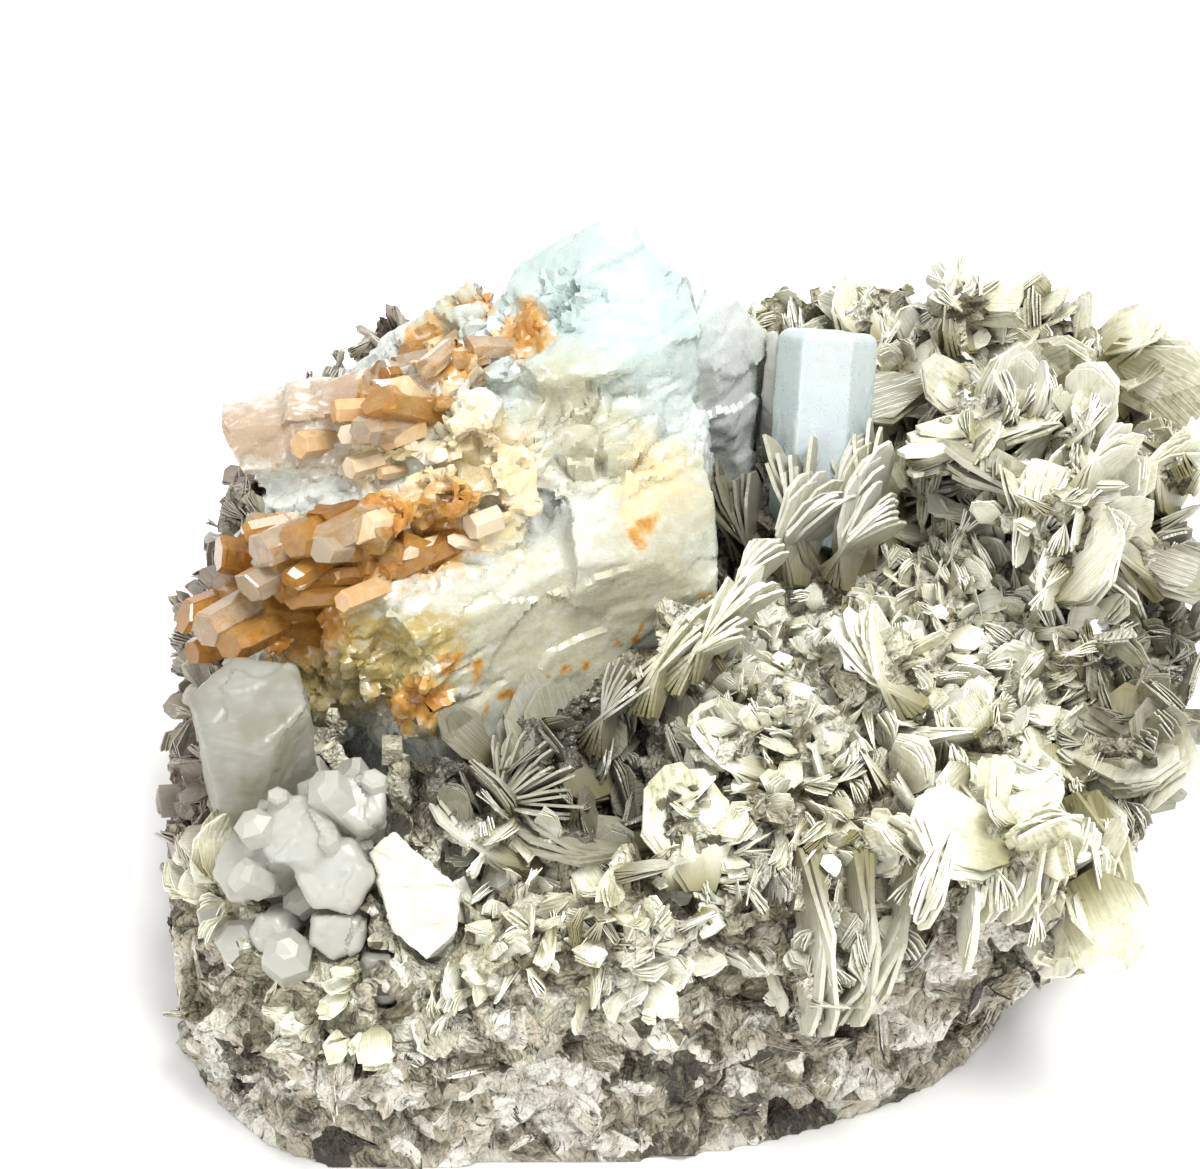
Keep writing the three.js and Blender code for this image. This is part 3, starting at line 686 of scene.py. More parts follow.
# %% Geometry tree that opens fans
def new_tree(name, sockets):
    tree = bpy.data.node_groups.new(name, "GeometryNodeTree")
    tree.interface.new_socket("Geometry", in_out="INPUT", socket_type="NodeSocketGeometry")
    tree.interface.new_socket("Geometry", in_out="OUTPUT", socket_type="NodeSocketGeometry")
    for label, kind, value in sockets:
        socket = tree.interface.new_socket(label, in_out="INPUT", socket_type="NodeSocket" + kind)
        if value is not None:
            socket.default_value = value
    return tree, tree.nodes.new("NodeGroupInput"), tree.nodes.new("NodeGroupOutput")


def use_tree(obj, tree, values):
    """Adds the tree to obj as a modifier and sets its inputs by their identifiers."""
    modifier = obj.modifiers.new(tree.name, "NODES")
    modifier.node_group = tree
    for item in tree.interface.items_tree:
        if item.item_type == "SOCKET" and item.in_out == "INPUT" and item.name in values:
            modifier[item.identifier] = values[item.name]


def kept(tree, name, kind="FLOAT"):
    """Reads a value kept on the points."""
    return put(tree, "GeometryNodeInputNamedAttribute", {"Name": name}, data_type=kind).outputs["Attribute"]


def varied(tree, low, high, seed):
    """A fixed random number for each element, between two values or sockets."""
    return put(tree, "FunctionNodeRandomValue", {2: low, 3: high, "Seed": seed}).outputs[1]


def picked(tree, highest, seed):
    """A fixed random whole number for each element."""
    inputs = {4: 0, 5: highest, "Seed": seed}
    return put(tree, "FunctionNodeRandomValue", inputs, data_type="INT").outputs[2]


def random_way(tree, seed):
    inputs = {0: (-1, -1, -1), 1: (1, 1, 1), "Seed": seed}
    return put(tree, "FunctionNodeRandomValue", inputs, data_type="FLOAT_VECTOR").outputs[0]


def dropped_points(tree, ground, least, most, where, seed):
    """Points on a surface, none closer than the least distance, and more where a kept value is high."""
    return put(
        tree,
        "GeometryNodeDistributePointsOnFaces",
        {
            "Mesh": ground,
            "Distance Min": least,
            "Density Max": most,
            "Density Factor": kept(tree, where),
            "Seed": seed,
        },
        distribute_method="POISSON",
    )


def moved_by(tree, geometry, offset):
    return put(tree, "GeometryNodeSetPosition", {"Geometry": geometry, "Offset": offset}).outputs["Geometry"]


def stored(tree, geometry, name, value, kind="FLOAT", domain="POINT"):
    """Keeps a value on each element, under a name."""
    inputs = {"Geometry": geometry, "Name": name, "Value": value}
    made = put(tree, "GeometryNodeStoreNamedAttribute", inputs, data_type=kind, domain=domain)
    return made.outputs["Geometry"]


def turned_to(tree, axis, along, second, hinge):
    """The rotation that brings one axis of a shape along a direction and a second one near another."""
    inputs = {"Primary Axis": along, "Secondary Axis": hinge}
    settings = {"primary_axis": axis, "secondary_axis": second}
    return put(tree, "FunctionNodeAxesToRotation", inputs, **settings).outputs[0]


def joined_xyz(tree, x, y, z):
    return put(tree, "ShaderNodeCombineXYZ", {"X": x, "Y": y, "Z": z}).outputs[0]


def copied_shapes(tree, spots, group, index, turn, size, tone_seed, material):
    """Puts a shape of the group on each point, gives it a tone and a material, and makes it real mesh."""
    shapes = {"Collection": group, "Separate Children": True, "Reset Children": True}
    copies = put(
        tree,
        "GeometryNodeInstanceOnPoints",
        {
            "Points": spots,
            "Instance": put(tree, "GeometryNodeCollectionInfo", shapes).outputs[0],
            "Pick Instance": True,
            "Instance Index": index,
            "Rotation": turn,
            "Scale": size,
        },
    ).outputs["Instances"]
    copies = stored(tree, copies, "tone", varied(tree, 0.0, 1.0, tone_seed), domain="INSTANCE")
    real = put(tree, "GeometryNodeRealizeInstances", {"Geometry": copies}).outputs["Geometry"]
    return put(tree, "GeometryNodeSetMaterial", {"Geometry": real, "Material": material}).outputs["Geometry"]


open_fans, fan_in, fan_out = new_tree(
    "Open fans",
    [("Leaf shapes", "Collection", None), ("Uneven", "Float", 0.08), ("Material", "Material", None)],
)
copies = put(
    open_fans,
    "GeometryNodeDuplicateElements",
    {"Geometry": fan_in.outputs["Geometry"], "Amount": kept(open_fans, "leaves", "INT")},
    domain="POINT",
)
turn_share = number_step(open_fans, "DIVIDE", copies.outputs["Duplicate Index"], kept(open_fans, "leaves"))
turn_share = plus(open_fans, turn_share, varied(open_fans, -0.55, -0.45, 1))
fan_along = kept(open_fans, "along", "FLOAT_VECTOR")
fan_hinge = kept(open_fans, "hinge", "FLOAT_VECTOR")
along = put(
    open_fans,
    "ShaderNodeVectorRotate",
    {
        "Vector": fan_along,
        "Axis": fan_hinge,
        "Angle": times(open_fans, turn_share, kept(open_fans, "spread")),
    },
).outputs[0]
along = added(
    open_fans, along, scaled(open_fans, fan_hinge, scale=varied(open_fans, -0.14, 0.14, 3))
)
hinge = added(
    open_fans,
    fan_hinge,
    scaled(open_fans, random_way(open_fans, 5), scale=fan_in.outputs["Uneven"]),
)
turned = turned_to(open_fans, "Y", along, "X", hinge)
size = joined_xyz(
    open_fans,
    times(open_fans, kept(open_fans, "width"), varied(open_fans, 0.7, 1.1, 7)),
    times(open_fans, kept(open_fans, "reach"), varied(open_fans, 0.78, 1.04, 8)),
    kept(open_fans, "reach"),
)
# Leaves of one book start side by side, so the root moves along the book's thickness too.
across = crossed(open_fans, along, hinge)
offset = scaled(open_fans, across, times(open_fans, turn_share, kept(open_fans, "stack")))
placed = moved_by(open_fans, copies.outputs["Geometry"], offset)
painted = copied_shapes(
    open_fans, placed, fan_in.outputs["Leaf shapes"], kept(open_fans, "shape", "INT"), turned, size,
    21, fan_in.outputs["Material"],
)
open_fans.links.new(painted, fan_out.inputs["Geometry"])

# %% [markdown]
# ## Fitting the leaves in
#
# The trees know nothing of the crystals, so each leaf is tested after it is grown. One that pokes into a
# crystal or hangs in front of one is dropped, and one that would leave the specimen's box is moved back.

# %% Growing, fitting and keeping leaves
LEAF_VALUES = ("tone", "tip", "own", "edge", "dark", "purple", "wall")
OVERHANG = 1.2 * MM
NEAR_A_CRYSTAL = 12 * MM
MOST_INSIDE = 0.2 * MM
# Leaves do grow in front of the feet of these crystals.
FEET = [
    (830, 490, 75, 80), (265, 825, 70, 32), (330, 810, 60, 40), (575, 742, 45, 30), (620, 707, 45, 34),
    (665, 667, 45, 38), (705, 625, 40, 42), (728, 560, 26, 50), (480, 755, 60, 22),
]


def fit_leaves(mesh, leaf_points):
    spots = points_of(mesh).reshape(-1, leaf_points, 3)
    low, high = np.array(cad_box[0]) - OVERHANG, np.array(cad_box[1]) + OVERHANG
    low[2], high[2] = 0.0, cad_box[1][2]
    spots += np.maximum(low - spots.min(1), 0)[:, None, :]
    spots -= np.maximum(spots.max(1) - high, 0)[:, None, :]
    spots[:, :, 2] = np.maximum(spots[:, :, 2], 0.0)
    move_points(mesh, spots.reshape(-1, 3))
    tests = np.stack([spots.mean(1), spots[:, 2], spots[:, leaf_points // 4], spots[:, 4]], axis=1)
    dropped = np.zeros(len(spots), dtype=bool)
    for i, leaf in enumerate(tests.tolist()):
        hidden = 0
        for p in leaf:
            p = Vector(p)
            near = crystals_near.find_nearest(p, NEAR_A_CRYSTAL)
            if near[0] is not None and (p - near[0]).dot(near[1]) < -MOST_INSIDE:
                dropped[i] = True
                break
            met = crystals_near.ray_cast(eye, (p - eye).normalized(), SIGHT_RANGE)
            behind_leaf = met[0] is not None and met[3] > (p - eye).length
            if behind_leaf and patch(np.array([p]), FEET, 0.01)[0] < 0.5:
                hidden += 1
        if hidden > 1:
            dropped[i] = True
    work = bmesh.new()
    work.from_mesh(mesh)
    work.verts.ensure_lookup_table()
    gone = np.repeat(dropped, leaf_points)
    bmesh.ops.delete(work, geom=[v for v in work.verts if gone[v.index]], context="VERTS")
    work.to_mesh(mesh)
    work.free()
    print("  leaves grown:", len(spots), "dropped:", int(dropped.sum()))


def grow_fans(name, obj, material, shape_group, scatter_values=None):
    """Runs the trees on obj, keeps the leaves as one plain piece of closed plates, and drops obj."""
    if scatter_values:
        use_tree(obj, scatter, scatter_values)
    use_tree(obj, open_fans, {"Leaf shapes": shape_group, "Uneven": 0.08, "Material": material})
    bpy.context.view_layer.update()
    mesh = mesh_of(obj, name)
    bpy.data.objects.remove(obj)
    drop_values(mesh, LEAF_VALUES)
    fit_leaves(mesh, len(shape_group.objects[0].data.vertices))
    if shape_group is broad_leaves:
        mesh.shade_smooth()
        mesh.set_sharp_from_angle(angle=0.6)
    mesh.materials.clear()
    finish_piece(object_of(mesh, name), "mica", material)


# %% [markdown]
# ## Fans with places of their own
#
# The largest fans stand where the solid has them: a star spray in the hollow below the thick prism, a brown
# book beside it, upright books in the front wall, and shell-like stacks along the right side.

# %% Placed fans
# Each row: root in millimetres; rise, toward and edge-on turn of the fan as seen, in degrees; spread in
# degrees; reach and width in millimetres; leaf shape.
FANS = [
    ((-22.8, -30, 37), 50, 10, 75, 110, 11, 6, 0),
    ((-12, -24, 36), 118, 0, 52, 30, 15, 13, 0),
    ((-19, -33, 34), 140, 5, 60, 15, 14, 10, 3),
    ((-5, -32, 35), 168, 5, 65, 20, 15, 9, 0),
    ((-31.5, -33, 38), 84, 0, 12, 8, 11, 12, 3),
    ((1, -39, 37), 96, 5, 15, 12, 13, 10, 0),
    ((-5, -15, 43), 50, 0, 68, 30, 14, 9, 3),
    ((9, -27, 42), 140, 15, 70, 35, 10, 8, 1),
    ((14, -38, 38), 272, 5, 70, 10, 19, 9, 0),
    ((20, -38, 38), 268, 5, 68, 12, 18, 9, 0),
    ((26, -38, 38), 250, 5, 72, 20, 18, 9, 0),
    ((30, -33, 43), 300, 20, 62, 40, 14, 12, 1),
    ((37, -31, 42), 285, 15, 66, 40, 14, 12, 0),
    ((47, -27, 34), 268, 10, 50, 30, 18, 15, 1),
    ((56, -13, 40), 250, 20, 30, 40, 13, 14, 2),
    ((50, 25, 58), 255, 10, 68, 40, 15, 10, 1),
    ((47, 24, 57), 202, 10, 65, 20, 20, 10, 0),
    ((50, 12, 53), 170, 8, 70, 16, 19, 10, 2),
    ((59, 4, 47), 128, 10, 60, 16, 18, 11, 1),
    ((46, 4, 51), 90, 30, 60, 100, 10, 9, 1),
    ((31, 33, 52), 190, 10, 35, 15, 11, 8, 0),
    ((9.5, 26, 44), 100, 5, 20, 14, 10, 9, 0),
    ((13, 14, 43), 150, 10, 65, 50, 10, 7, 3),
    ((27, -18, 45), 125, 10, 66, 40, 13, 9, 0),
    ((24, 40, 55), 105, 0, 60, 40, 8, 10, 1),
    ((37, 40, 54), 85, 5, 65, 50, 9, 12, 1),
    ((56, 31, 52), 50, 10, 60, 40, 10, 12, 2),
    ((61, 17, 46), 70, 10, 55, 40, 10, 12, 2),
]


def fan_axes(rise, toward, edge):
    """The middle direction and the hinge of a fan, from its angles as seen from the camera."""
    a, b = np.radians(rise), np.radians(toward)
    middle = (view_right * np.cos(a) + view_up * np.sin(a)) * np.cos(b) - look * np.sin(b)
    flat_hinge = (-look).cross(middle).normalized()
    return middle, Matrix.Rotation(np.radians(edge), 3, middle) @ flat_hinge


def fan_points(name, rows):
    """A mesh of single points that carry what the fan tree reads."""
    mesh = bpy.data.meshes.new(name)
    mesh.from_pydata([r["at"] for r in rows], [], [])
    for key in ("along", "hinge", "spread", "reach", "width", "stack", "dark", "purple"):
        keep_values(mesh, key, [r[key] for r in rows])
    for key in ("leaves", "shape"):
        layer = mesh.attributes.new(key, "INT", "POINT")
        layer.data.foreach_set("value", [r[key] for r in rows])
    return object_of(mesh, name)


# The same, but with the root where the matrix is seen at x, y of the picture.
SEEN_FANS = [
    ((596, 742), 62, 15, 72, 50, 10, 6, 3),
    ((622, 722), 48, 10, 78, 40, 11, 5, 0),
    ((648, 700), 60, 15, 70, 35, 11, 6, 3),
    ((672, 682), 45, 10, 75, 40, 11, 5, 0),
    ((694, 664), 58, 15, 72, 30, 11, 6, 3),
    ((716, 642), 50, 10, 70, 40, 10, 6, 0),
    ((738, 612), 65, 15, 60, 45, 10, 7, 1),
    ((768, 560), 118, 15, 62, 50, 13, 7, 3),
    ((792, 572), 72, 25, 55, 40, 13, 8, 0),
    ((815, 560), 105, 20, 68, 45, 16, 8, 3),
    ((838, 575), 60, 20, 64, 50, 13, 7, 0),
    ((858, 555), 88, 25, 50, 40, 15, 9, 1),
    ((882, 540), 112, 20, 70, 45, 15, 8, 0),
    ((905, 500), 140, 15, 60, 50, 13, 8, 3),
    ((736, 505), 78, 20, 48, 40, 12, 8, 1),
    ((748, 548), 128, 15, 66, 45, 12, 7, 0),
    ((725, 470), 60, 20, 66, 50, 11, 7, 3),
    ((222, 868), 80, 20, 40, 40, 8, 8, 1),
    ((262, 872), 100, 20, 55, 35, 8, 7, 2),
    ((345, 838), 70, 25, 30, 45, 8, 8, 2),
    ((372, 822), 50, 20, 50, 45, 8, 8, 1),
    ((330, 850), 120, 20, 60, 35, 7, 7, 3),
]
for (px, py), *rest in SEEN_FANS:
    FANS.append((tuple(seen_on(matrix_near, px, py) / MM), *rest))

placed_rows = []
for at, rise, toward, edge, spread, reach, width, shape in FANS:
    middle, hinge_line = fan_axes(rise, toward, edge)
    at = Vector(at) * MM
    halfway = np.array([at + middle * reach * 0.5 * MM])
    # Fans in the hollows and the shaded places get painted shade.
    in_hollow = 0.8 * patch(halfway, HOLLOW + SECOND_HOLLOW)[0]
    in_shade = 0.45 * patch(halfway, SHADED)[0]
    placed_rows.append(
        {
            "at": at,
            "along": middle,
            "hinge": hinge_line,
            "spread": np.radians(spread + 6),
            "reach": reach * 1.03 * MM,
            "width": width * 0.95 * MM,
            "stack": (2.2 + 0.03 * spread) * MM,
            "dark": min(1.0, float(in_hollow + in_shade)),
            "purple": 0.0,
            "leaves": int(7 + spread / 8),
            "shape": shape,
        }
    )
grow_fans("mica_placed_fans", fan_points("placed_fans", placed_rows), mica_leaf, broad_leaves)

# %% [markdown]
# ## Scattered fans
#
# Everywhere else small fans crowd the bed. This tree drops points on it with a least distance between them,
# gives each a direction between standing up and lying flat, and a size. Each stretch of the bed says how
# many, how large and how flat: fine and upright on the mound, larger on the right, flat plates on the wall.

# %% Geometry tree that scatters fans
scatter, scatter_in, scatter_out = new_tree(
    "Scatter fans",
    [
        ("Least distance", "Float", 0.003),
        ("Most per square metre", "Float", 400000.0),
        ("Seed", "Int", 1),
        ("Leaves", "Int", 8),
        ("Widest opening", "Float", 0.6),
        ("Stack", "Float", 0.3),
        ("Leaves face", "Vector", None),
    ],
)
dropped = dropped_points(
    scatter,
    scatter_in.outputs["Geometry"],
    scatter_in.outputs["Least distance"],
    scatter_in.outputs["Most per square metre"],
    "leafing",
    scatter_in.outputs["Seed"],
)
surface_way = dropped.outputs["Normal"]
side_way = unit(
    scatter, crossed(scatter, surface_way, random_way(scatter, 31))
)
flat_kept = kept(scatter, "flat")
loose = times(scatter, number_step(scatter, "SUBTRACT", 1.25, flat_kept), varied(scatter, -0.27, 0.27, 33))
flatness = plus(scatter, flat_kept, loose)


def between(share, a, b):
    return put(scatter, "ShaderNodeMix", {0: share, 4: a, 5: b}, data_type="VECTOR").outputs[1]


lean = scaled(scatter, kept(scatter, "lean", "FLOAT_VECTOR"), scale=varied(scatter, 0.2, 1.0, 35))
scattered_along = unit(
    scatter, added(scatter, between(flatness, surface_way, side_way), lean)
)
# Neighbouring books lie nearly the same way, as slow noise gives it, and most of them face sideways.
slow = put(scatter, "ShaderNodeTexNoise", {"Scale": 110.0, "Detail": 1.0}).outputs["Color"]
slow_way = scaled(scatter, centred(scatter, slow), scale=5.0)
leaf_way = added(scatter, slow_way, scatter_in.outputs["Leaves face"])
leaf_way = added(scatter, leaf_way, scaled(scatter, random_way(scatter, 37), scale=0.45))
any_hinge = unit(
    scatter, crossed(scatter, scattered_along, leaf_way)
)
lying_hinge = unit(
    scatter, crossed(scatter, surface_way, scattered_along)
)
upright_share = number_step(scatter, "LESS_THAN", varied(scatter, 0, 1, 38), kept(scatter, "upright"))
plate_hinge = between(upright_share, lying_hinge, surface_way)
lies_flat = number_step(scatter, "GREATER_THAN", flatness, varied(scatter, 0.3, 0.6, 36))
scattered_hinge = unit(
    scatter,
    between(lies_flat, any_hinge, plate_hinge),
)
reach_now = times(scatter, kept(scatter, "size"), varied(scatter, 0.65, 1.25, 39))
width_now = times(
    scatter, times(scatter, reach_now, varied(scatter, 0.7, 1.2, 41)), kept(scatter, "slim")
)
on_edge = times(scatter, upright_share, number_step(scatter, "GREATER_THAN", flatness, 0.6))
sink = plus(
    scatter,
    times(scatter, reach_now, -0.12),
    times(scatter, times(scatter, width_now, -0.3), on_edge),
)
state = moved_by(scatter, dropped.outputs["Points"], scaled(scatter, surface_way, sink))
for key, value, kind in (
    ("along", scattered_along, "FLOAT_VECTOR"),
    ("hinge", scattered_hinge, "FLOAT_VECTOR"),
    ("spread", times(scatter, scatter_in.outputs["Widest opening"], varied(scatter, 0.2, 1.0, 43)), "FLOAT"),
    ("reach", reach_now, "FLOAT"),
    ("width", width_now, "FLOAT"),
    ("stack", times(scatter, reach_now, scatter_in.outputs["Stack"]), "FLOAT"),
    ("leaves", scatter_in.outputs["Leaves"], "INT"),
    ("shape", picked(scatter, 11, 12), "INT"),
):
    state = stored(scatter, state, key, value, kind)
scatter.links.new(state, scatter_out.inputs["Geometry"])

# %% Where and how the scattered fans grow
LOWEST_LEAF = 0.8
x, y, z = (moved / MM).T
clear = np.clip((free - 1.2) / 1.5, 0, 1)
low_down = z < LOWEST_LEAF
topside = np.clip((up - 0.1) / 0.3, 0, 1) * np.clip((z - 22) / 8, 0, 1)
big_leaves = np.maximum(patch(moved, CROWN), patch(moved, SHELLS)) * topside
small_leaves = patch(moved, SMALL_LEAVES)
mound = patch(moved, MOUND)
rim = patch(moved, RIM)
near_placed = np.zeros(len(moved))
for row in placed_rows:
    root, tip = np.array(row["at"]), np.array(row["at"] + row["along"] * row["reach"] * 0.8)
    share = np.clip((moved - root) @ (tip - root) / np.sum((tip - root) ** 2), 0, 1)
    gap = np.linalg.norm(moved - root - share[:, None] * (tip - root), axis=1)
    near_placed = np.maximum(near_placed, np.clip(1.4 - gap / (0.55 * row["width"] + 1.0 * MM), 0, 1))
shaded = 0.6 * patch(moved, [(1060, 400, 120, 100)]) + patch(moved, SHADED)
lean_out = np.stack([0.8 * x / 66, 0.5 * y / 54 - 0.35, 0.3 * np.ones_like(x)], axis=1)


def scatter_piece(name, where, size, flat, least, leaves, seed, material, shape_group, **more):
    mesh = bed_mesh.copy()
    for key in ("tone", "crack", "dark"):
        mesh.attributes.remove(mesh.attributes[key])
    one = np.ones(len(moved))
    # Painted shade from the bed, more in the shaded places.
    keep_all(
        mesh,
        dark=np.clip(dark + 0.4 * shaded, 0, 1),
        leafing=where * ~low_down,
        size=size * one * MM,
        flat=flat * one,
        slim=more.get("slim", 1.0) * one,
        upright=more.get("upright", 0.0) * one,
        lean=lean_out * more.get("lean", 0.5),
    )
    grow_fans(
        name,
        object_of(mesh, name + "_ground"),
        material,
        shape_group,
        {
            "Least distance": least * MM,
            "Seed": seed,
            "Leaves": leaves,
            "Widest opening": more.get("opening", 0.6),
            "Stack": more.get("stack", 0.3),
            "Leaves face": (0.7, 0.0, 0.0),
        },
    )


quiet = (1 - 0.45 * near_placed) * (1 - 0.85 * hollow)
scatter_piece(
    "mica_broad_fans", topside * clear * quiet * np.clip(big_leaves - 0.1, 0, 1), 7.5 + 2.5 * big_leaves, 0.3,
    4.0, 12, 3, mica_leaf, broad_leaves, opening=0.8, lean=0.7, slim=0.8,
)
scatter_piece(
    "mica_hollow_fans", topside * clear * hollow * (1 - 0.8 * near_placed), 7.0, 0.3,
    3.2, 8, 4, mica_leaf, broad_leaves, opening=0.7, lean=0.2, slim=0.8,
)
fine_size = 4.4 + 1.4 * np.clip((x - 10) / 40, 0, 1) - 0.8 * small_leaves - 0.6 * mound + 0.8 * big_leaves
fine_where = topside * clear * quiet * (1 - 0.5 * big_leaves)
fine_slim = 0.9 - 0.4 * mound
fine_flat = 0.25 + 0.35 * rim
for side, part, seed in (("left", x < 6, 5), ("middle", (x >= 6) & (x < 34), 7), ("right", x >= 34, 9)):
    scatter_piece(
        "mica_fine_fans_" + side, fine_where * part, fine_size, fine_flat,
        1.7, 8, seed, mica_leaf, fine_leaves, slim=fine_slim, opening=0.9, upright=0.3 * rim,
    )
books = patch(moved, UPRIGHT_BOOKS)
wall_where = (1 - topside) * clear * (1 - 0.8 * near_placed) * (0.3 + 0.7 * books)
for side, part, seed in (("front", y < 0, 11), ("back", y >= 0, 13)):
    scatter_piece(
        "mica_wall_" + side, wall_where * part, 5.0 + 1.5 * books, 1.0,
        3.1, 4, seed, mica_rock, fine_leaves, upright=0.05 + 0.6 * books, opening=0.1, stack=0.16, lean=0.0,
    )

# %% [markdown]
# ## Glints
#
# A few fresh cleavage faces lie just so that they mirror the light towards the viewer. Each is a small
# book of three leaves, set on the surface at the place where the real one flashes.

# %% Glinting plates
mica_glint, glint_tree, glint_shader = new_material("fresh mica cleavage")
glint_lines = cloud(glint_tree, millimetres(glint_tree), 1.2, 5.0)
wire(
    glint_tree, glint_shader,
    Base_Color=tones(glint_tree, glint_lines, (0.3, "#DADBD6"), (0.6, "#FBFCFC")),
    Roughness=spread_out(glint_tree, glint_lines, 0.3, 0.7, 0.08, 0.3),
)
glint_shader.inputs["IOR"].default_value = 1.6
GLINTS = [
    (757, 718, 4.6), (1092, 634, 4.4), (942, 612, 2.6), (850, 665, 3.4), (860, 755, 2.8), (520, 930, 4.0),
    (590, 955, 3.0), (1175, 560, 3.4), (830, 860, 3.0), (895, 500, 3.0), (720, 455, 1.8), (705, 470, 2.0),
]
bed_near = BVHTree.FromObject(bed, bpy.context.evaluated_depsgraph_get())
light_way = (Vector((0.22, -0.12, 0.9)) - Vector((0, 0, 0.04))).normalized()
glint_rows = []
for i, (px, py, reach) in enumerate(GLINTS):
    ray = sight(px, py)
    hit = seen_on(bed_near, px, py)
    if hit is None:
        continue
    facing = (light_way - ray).normalized()
    way = facing.cross(Vector((np.cos(2.4 * i), np.sin(2.4 * i), 0.3))).normalized()
    glint_rows.append(
        {
            "at": hit - ray * 2.2 * MM - way * reach * 0.5 * MM,
            "along": way,
            "hinge": facing.cross(way),
            "spread": 0.06,
            "reach": reach * 0.8 * MM,
            "width": reach * 0.75 * MM,
            "stack": 0.9 * MM,
            "dark": 0.0,
            "purple": 0.0,
            "leaves": 3,
            "shape": 3 * (i % 2),
        }
    )
grow_fans("mica_glints", fan_points("glint_points", glint_rows), mica_glint, fine_leaves)

# %% [markdown]
# ## Beryl materials
#
# Beryl is see-through, with a refractive index of about 1.57, and aquamarine takes a faint blue-green from
# the light that passes through it. Cloudy veils, etched faces and iron stains are what the eye sees first,
# so the colour follows values kept on the surface: how blue, yellow, olive, pink, peach, brown or rusty it is.
# The brown on the crystals at the left is partly stain and partly painted shadow.

# %% Beryl materials
PRISM_TURN = np.radians(36)
BERYL_IOR = 1.57


def facets(tree, place, size, tilt):
    """A normal that turns a little from grain to grain, so that single grains flash."""
    cells = put(tree, "ShaderNodeTexVoronoi", {"Vector": place, "Scale": 1 / size}).outputs["Color"]
    turn = scaled(tree, centred(tree, cells), scale=tilt)
    straight = put(tree, "ShaderNodeNewGeometry").outputs["Normal"]
    return unit(tree, added(tree, straight, turn))


def see_through(tree, shader, through, absorb, density):
    """Plain transmission, a constant refractive index, and colour taken from light inside the stone."""
    shader.inputs["IOR"].default_value = BERYL_IOR
    shader.inputs["Transmission Weight"].default_value = through
    inside = put(tree, "ShaderNodeVolumeAbsorption", {"Color": colour(absorb), "Density": density})
    tree.links.new(inside.outputs["Volume"], tree.nodes["Material Output"].inputs["Volume"])


def beryl_material(name, body, through, shine, absorb, density, tilt, veils, stains=()):
    mat, tree, shader = new_material(name)
    place = millimetres(tree)
    drawn_out = put(
        tree, "ShaderNodeMapping", {"Vector": place, "Rotation": (0, 0, -PRISM_TURN), "Scale": (0.3, 1, 1)}
    ).outputs[0]
    streaks = cloud(tree, drawn_out, 0.6, 3.0, 0.65)
    speck = cloud(tree, place, 0.8, 4.0, 0.7)
    milky = spread_out(tree, cloud(tree, place, 0.14, 1.0), 0.38, 0.68, 0, 0.35)
    current = blend(tree, milky, colour(body), colour("#F7FAF6"))
    for key, tint, low, high in stains:
        uneven = times(tree, number_step(tree, "SUBTRACT", speck, 0.5), 1.3)
        amount = plus(tree, value_of(tree, key), uneven)
        current = blend(tree, spread_out(tree, amount, low, high), current, colour(tint))
    wisps = times(tree, spread_out(tree, streaks, 0.56, 0.7), veils)
    current = blend(tree, wisps, current, colour("#FBFCF8"))
    wire(
        tree, shader,
        Base_Color=current,
        Roughness=spread_out(tree, speck, 0.35, 0.7, shine, shine + 0.22),
        Normal=facets(tree, drawn_out, 1.1, tilt),
    )
    see_through(tree, shader, through, absorb, density)
    return mat


TINTS_AND_SHADOW = (
    ("blue", "#D3E4DF", 0.1, 0.8),
    ("yellow", "#D8D4B6", 0.3, 1.0),
    ("olive", "#C2AC68", 0.3, 1.0),
    ("pink", "#C8AE92", 0.25, 0.9),
    ("peach", "#F6E2B2", 0.25, 0.95),
    # Brown: partly stain, partly painted shadow on the left side.
    ("brown", "#7A5430", 0.3, 0.95),
    ("rust", "#E9B25A", 0.25, 0.7),
    ("rust", "#BF7A2C", 0.65, 1.15),
)
aquamarine = beryl_material("etched aquamarine", "#E8EDE4", 0.34, 0.16, "#D6EFEA", 2.0, 0.14, 0.5, TINTS_AND_SHADOW)
clear_aquamarine = beryl_material("clear aquamarine", "#EAF6F6", 0.5, 0.24, "#A9E0E6", 14.0, 0.07, 0.2)
frosted_beryl = beryl_material("frosted beryl", "#B7B39C", 0.6, 0.3, "#CFCFB6", 8.0, 0.1, 0.3)
pale_beryl = beryl_material("pale frosted beryl", "#E7E5D5", 0.55, 0.28, "#DCDFC8", 6.0, 0.14, 0.3)
cloudy_beryl = beryl_material("cloudy beryl", "#E6E3DA", 0.4, 0.28, "#D8E6E0", 6.0, 0.1, 0.4)


def seam_beryl_material(name, deep, light, through, absorb, density):
    """Small clear prisms: each has its own depth of stain, and their faces are still glassy."""
    mat, tree, shader = new_material(name)
    place = millimetres(tree)
    tone = plus(tree, value_of(tree, "tone"), cloud(tree, place, 0.7, 2.0))
    wire(
        tree, shader,
        Base_Color=tones(tree, spread_out(tree, tone, 0.35, 1.4), (0, deep), (0.6, light), (1, "#FAE9CC")),
        Roughness=spread_out(tree, cloud(tree, place, 1.5, 1.0), 0.3, 0.7, 0.02, 0.16),
    )
    see_through(tree, shader, through, absorb, density)
    return mat


amber_beryl = seam_beryl_material("iron-stained beryl", "#DC902E", "#F2BE6C", 0.7, "#F2B24C", 55.0)
rosy_beryl = seam_beryl_material("pale rosy beryl", "#DFAA6C", "#F2D2A2", 0.3, "#F2D0A0", 14.0)

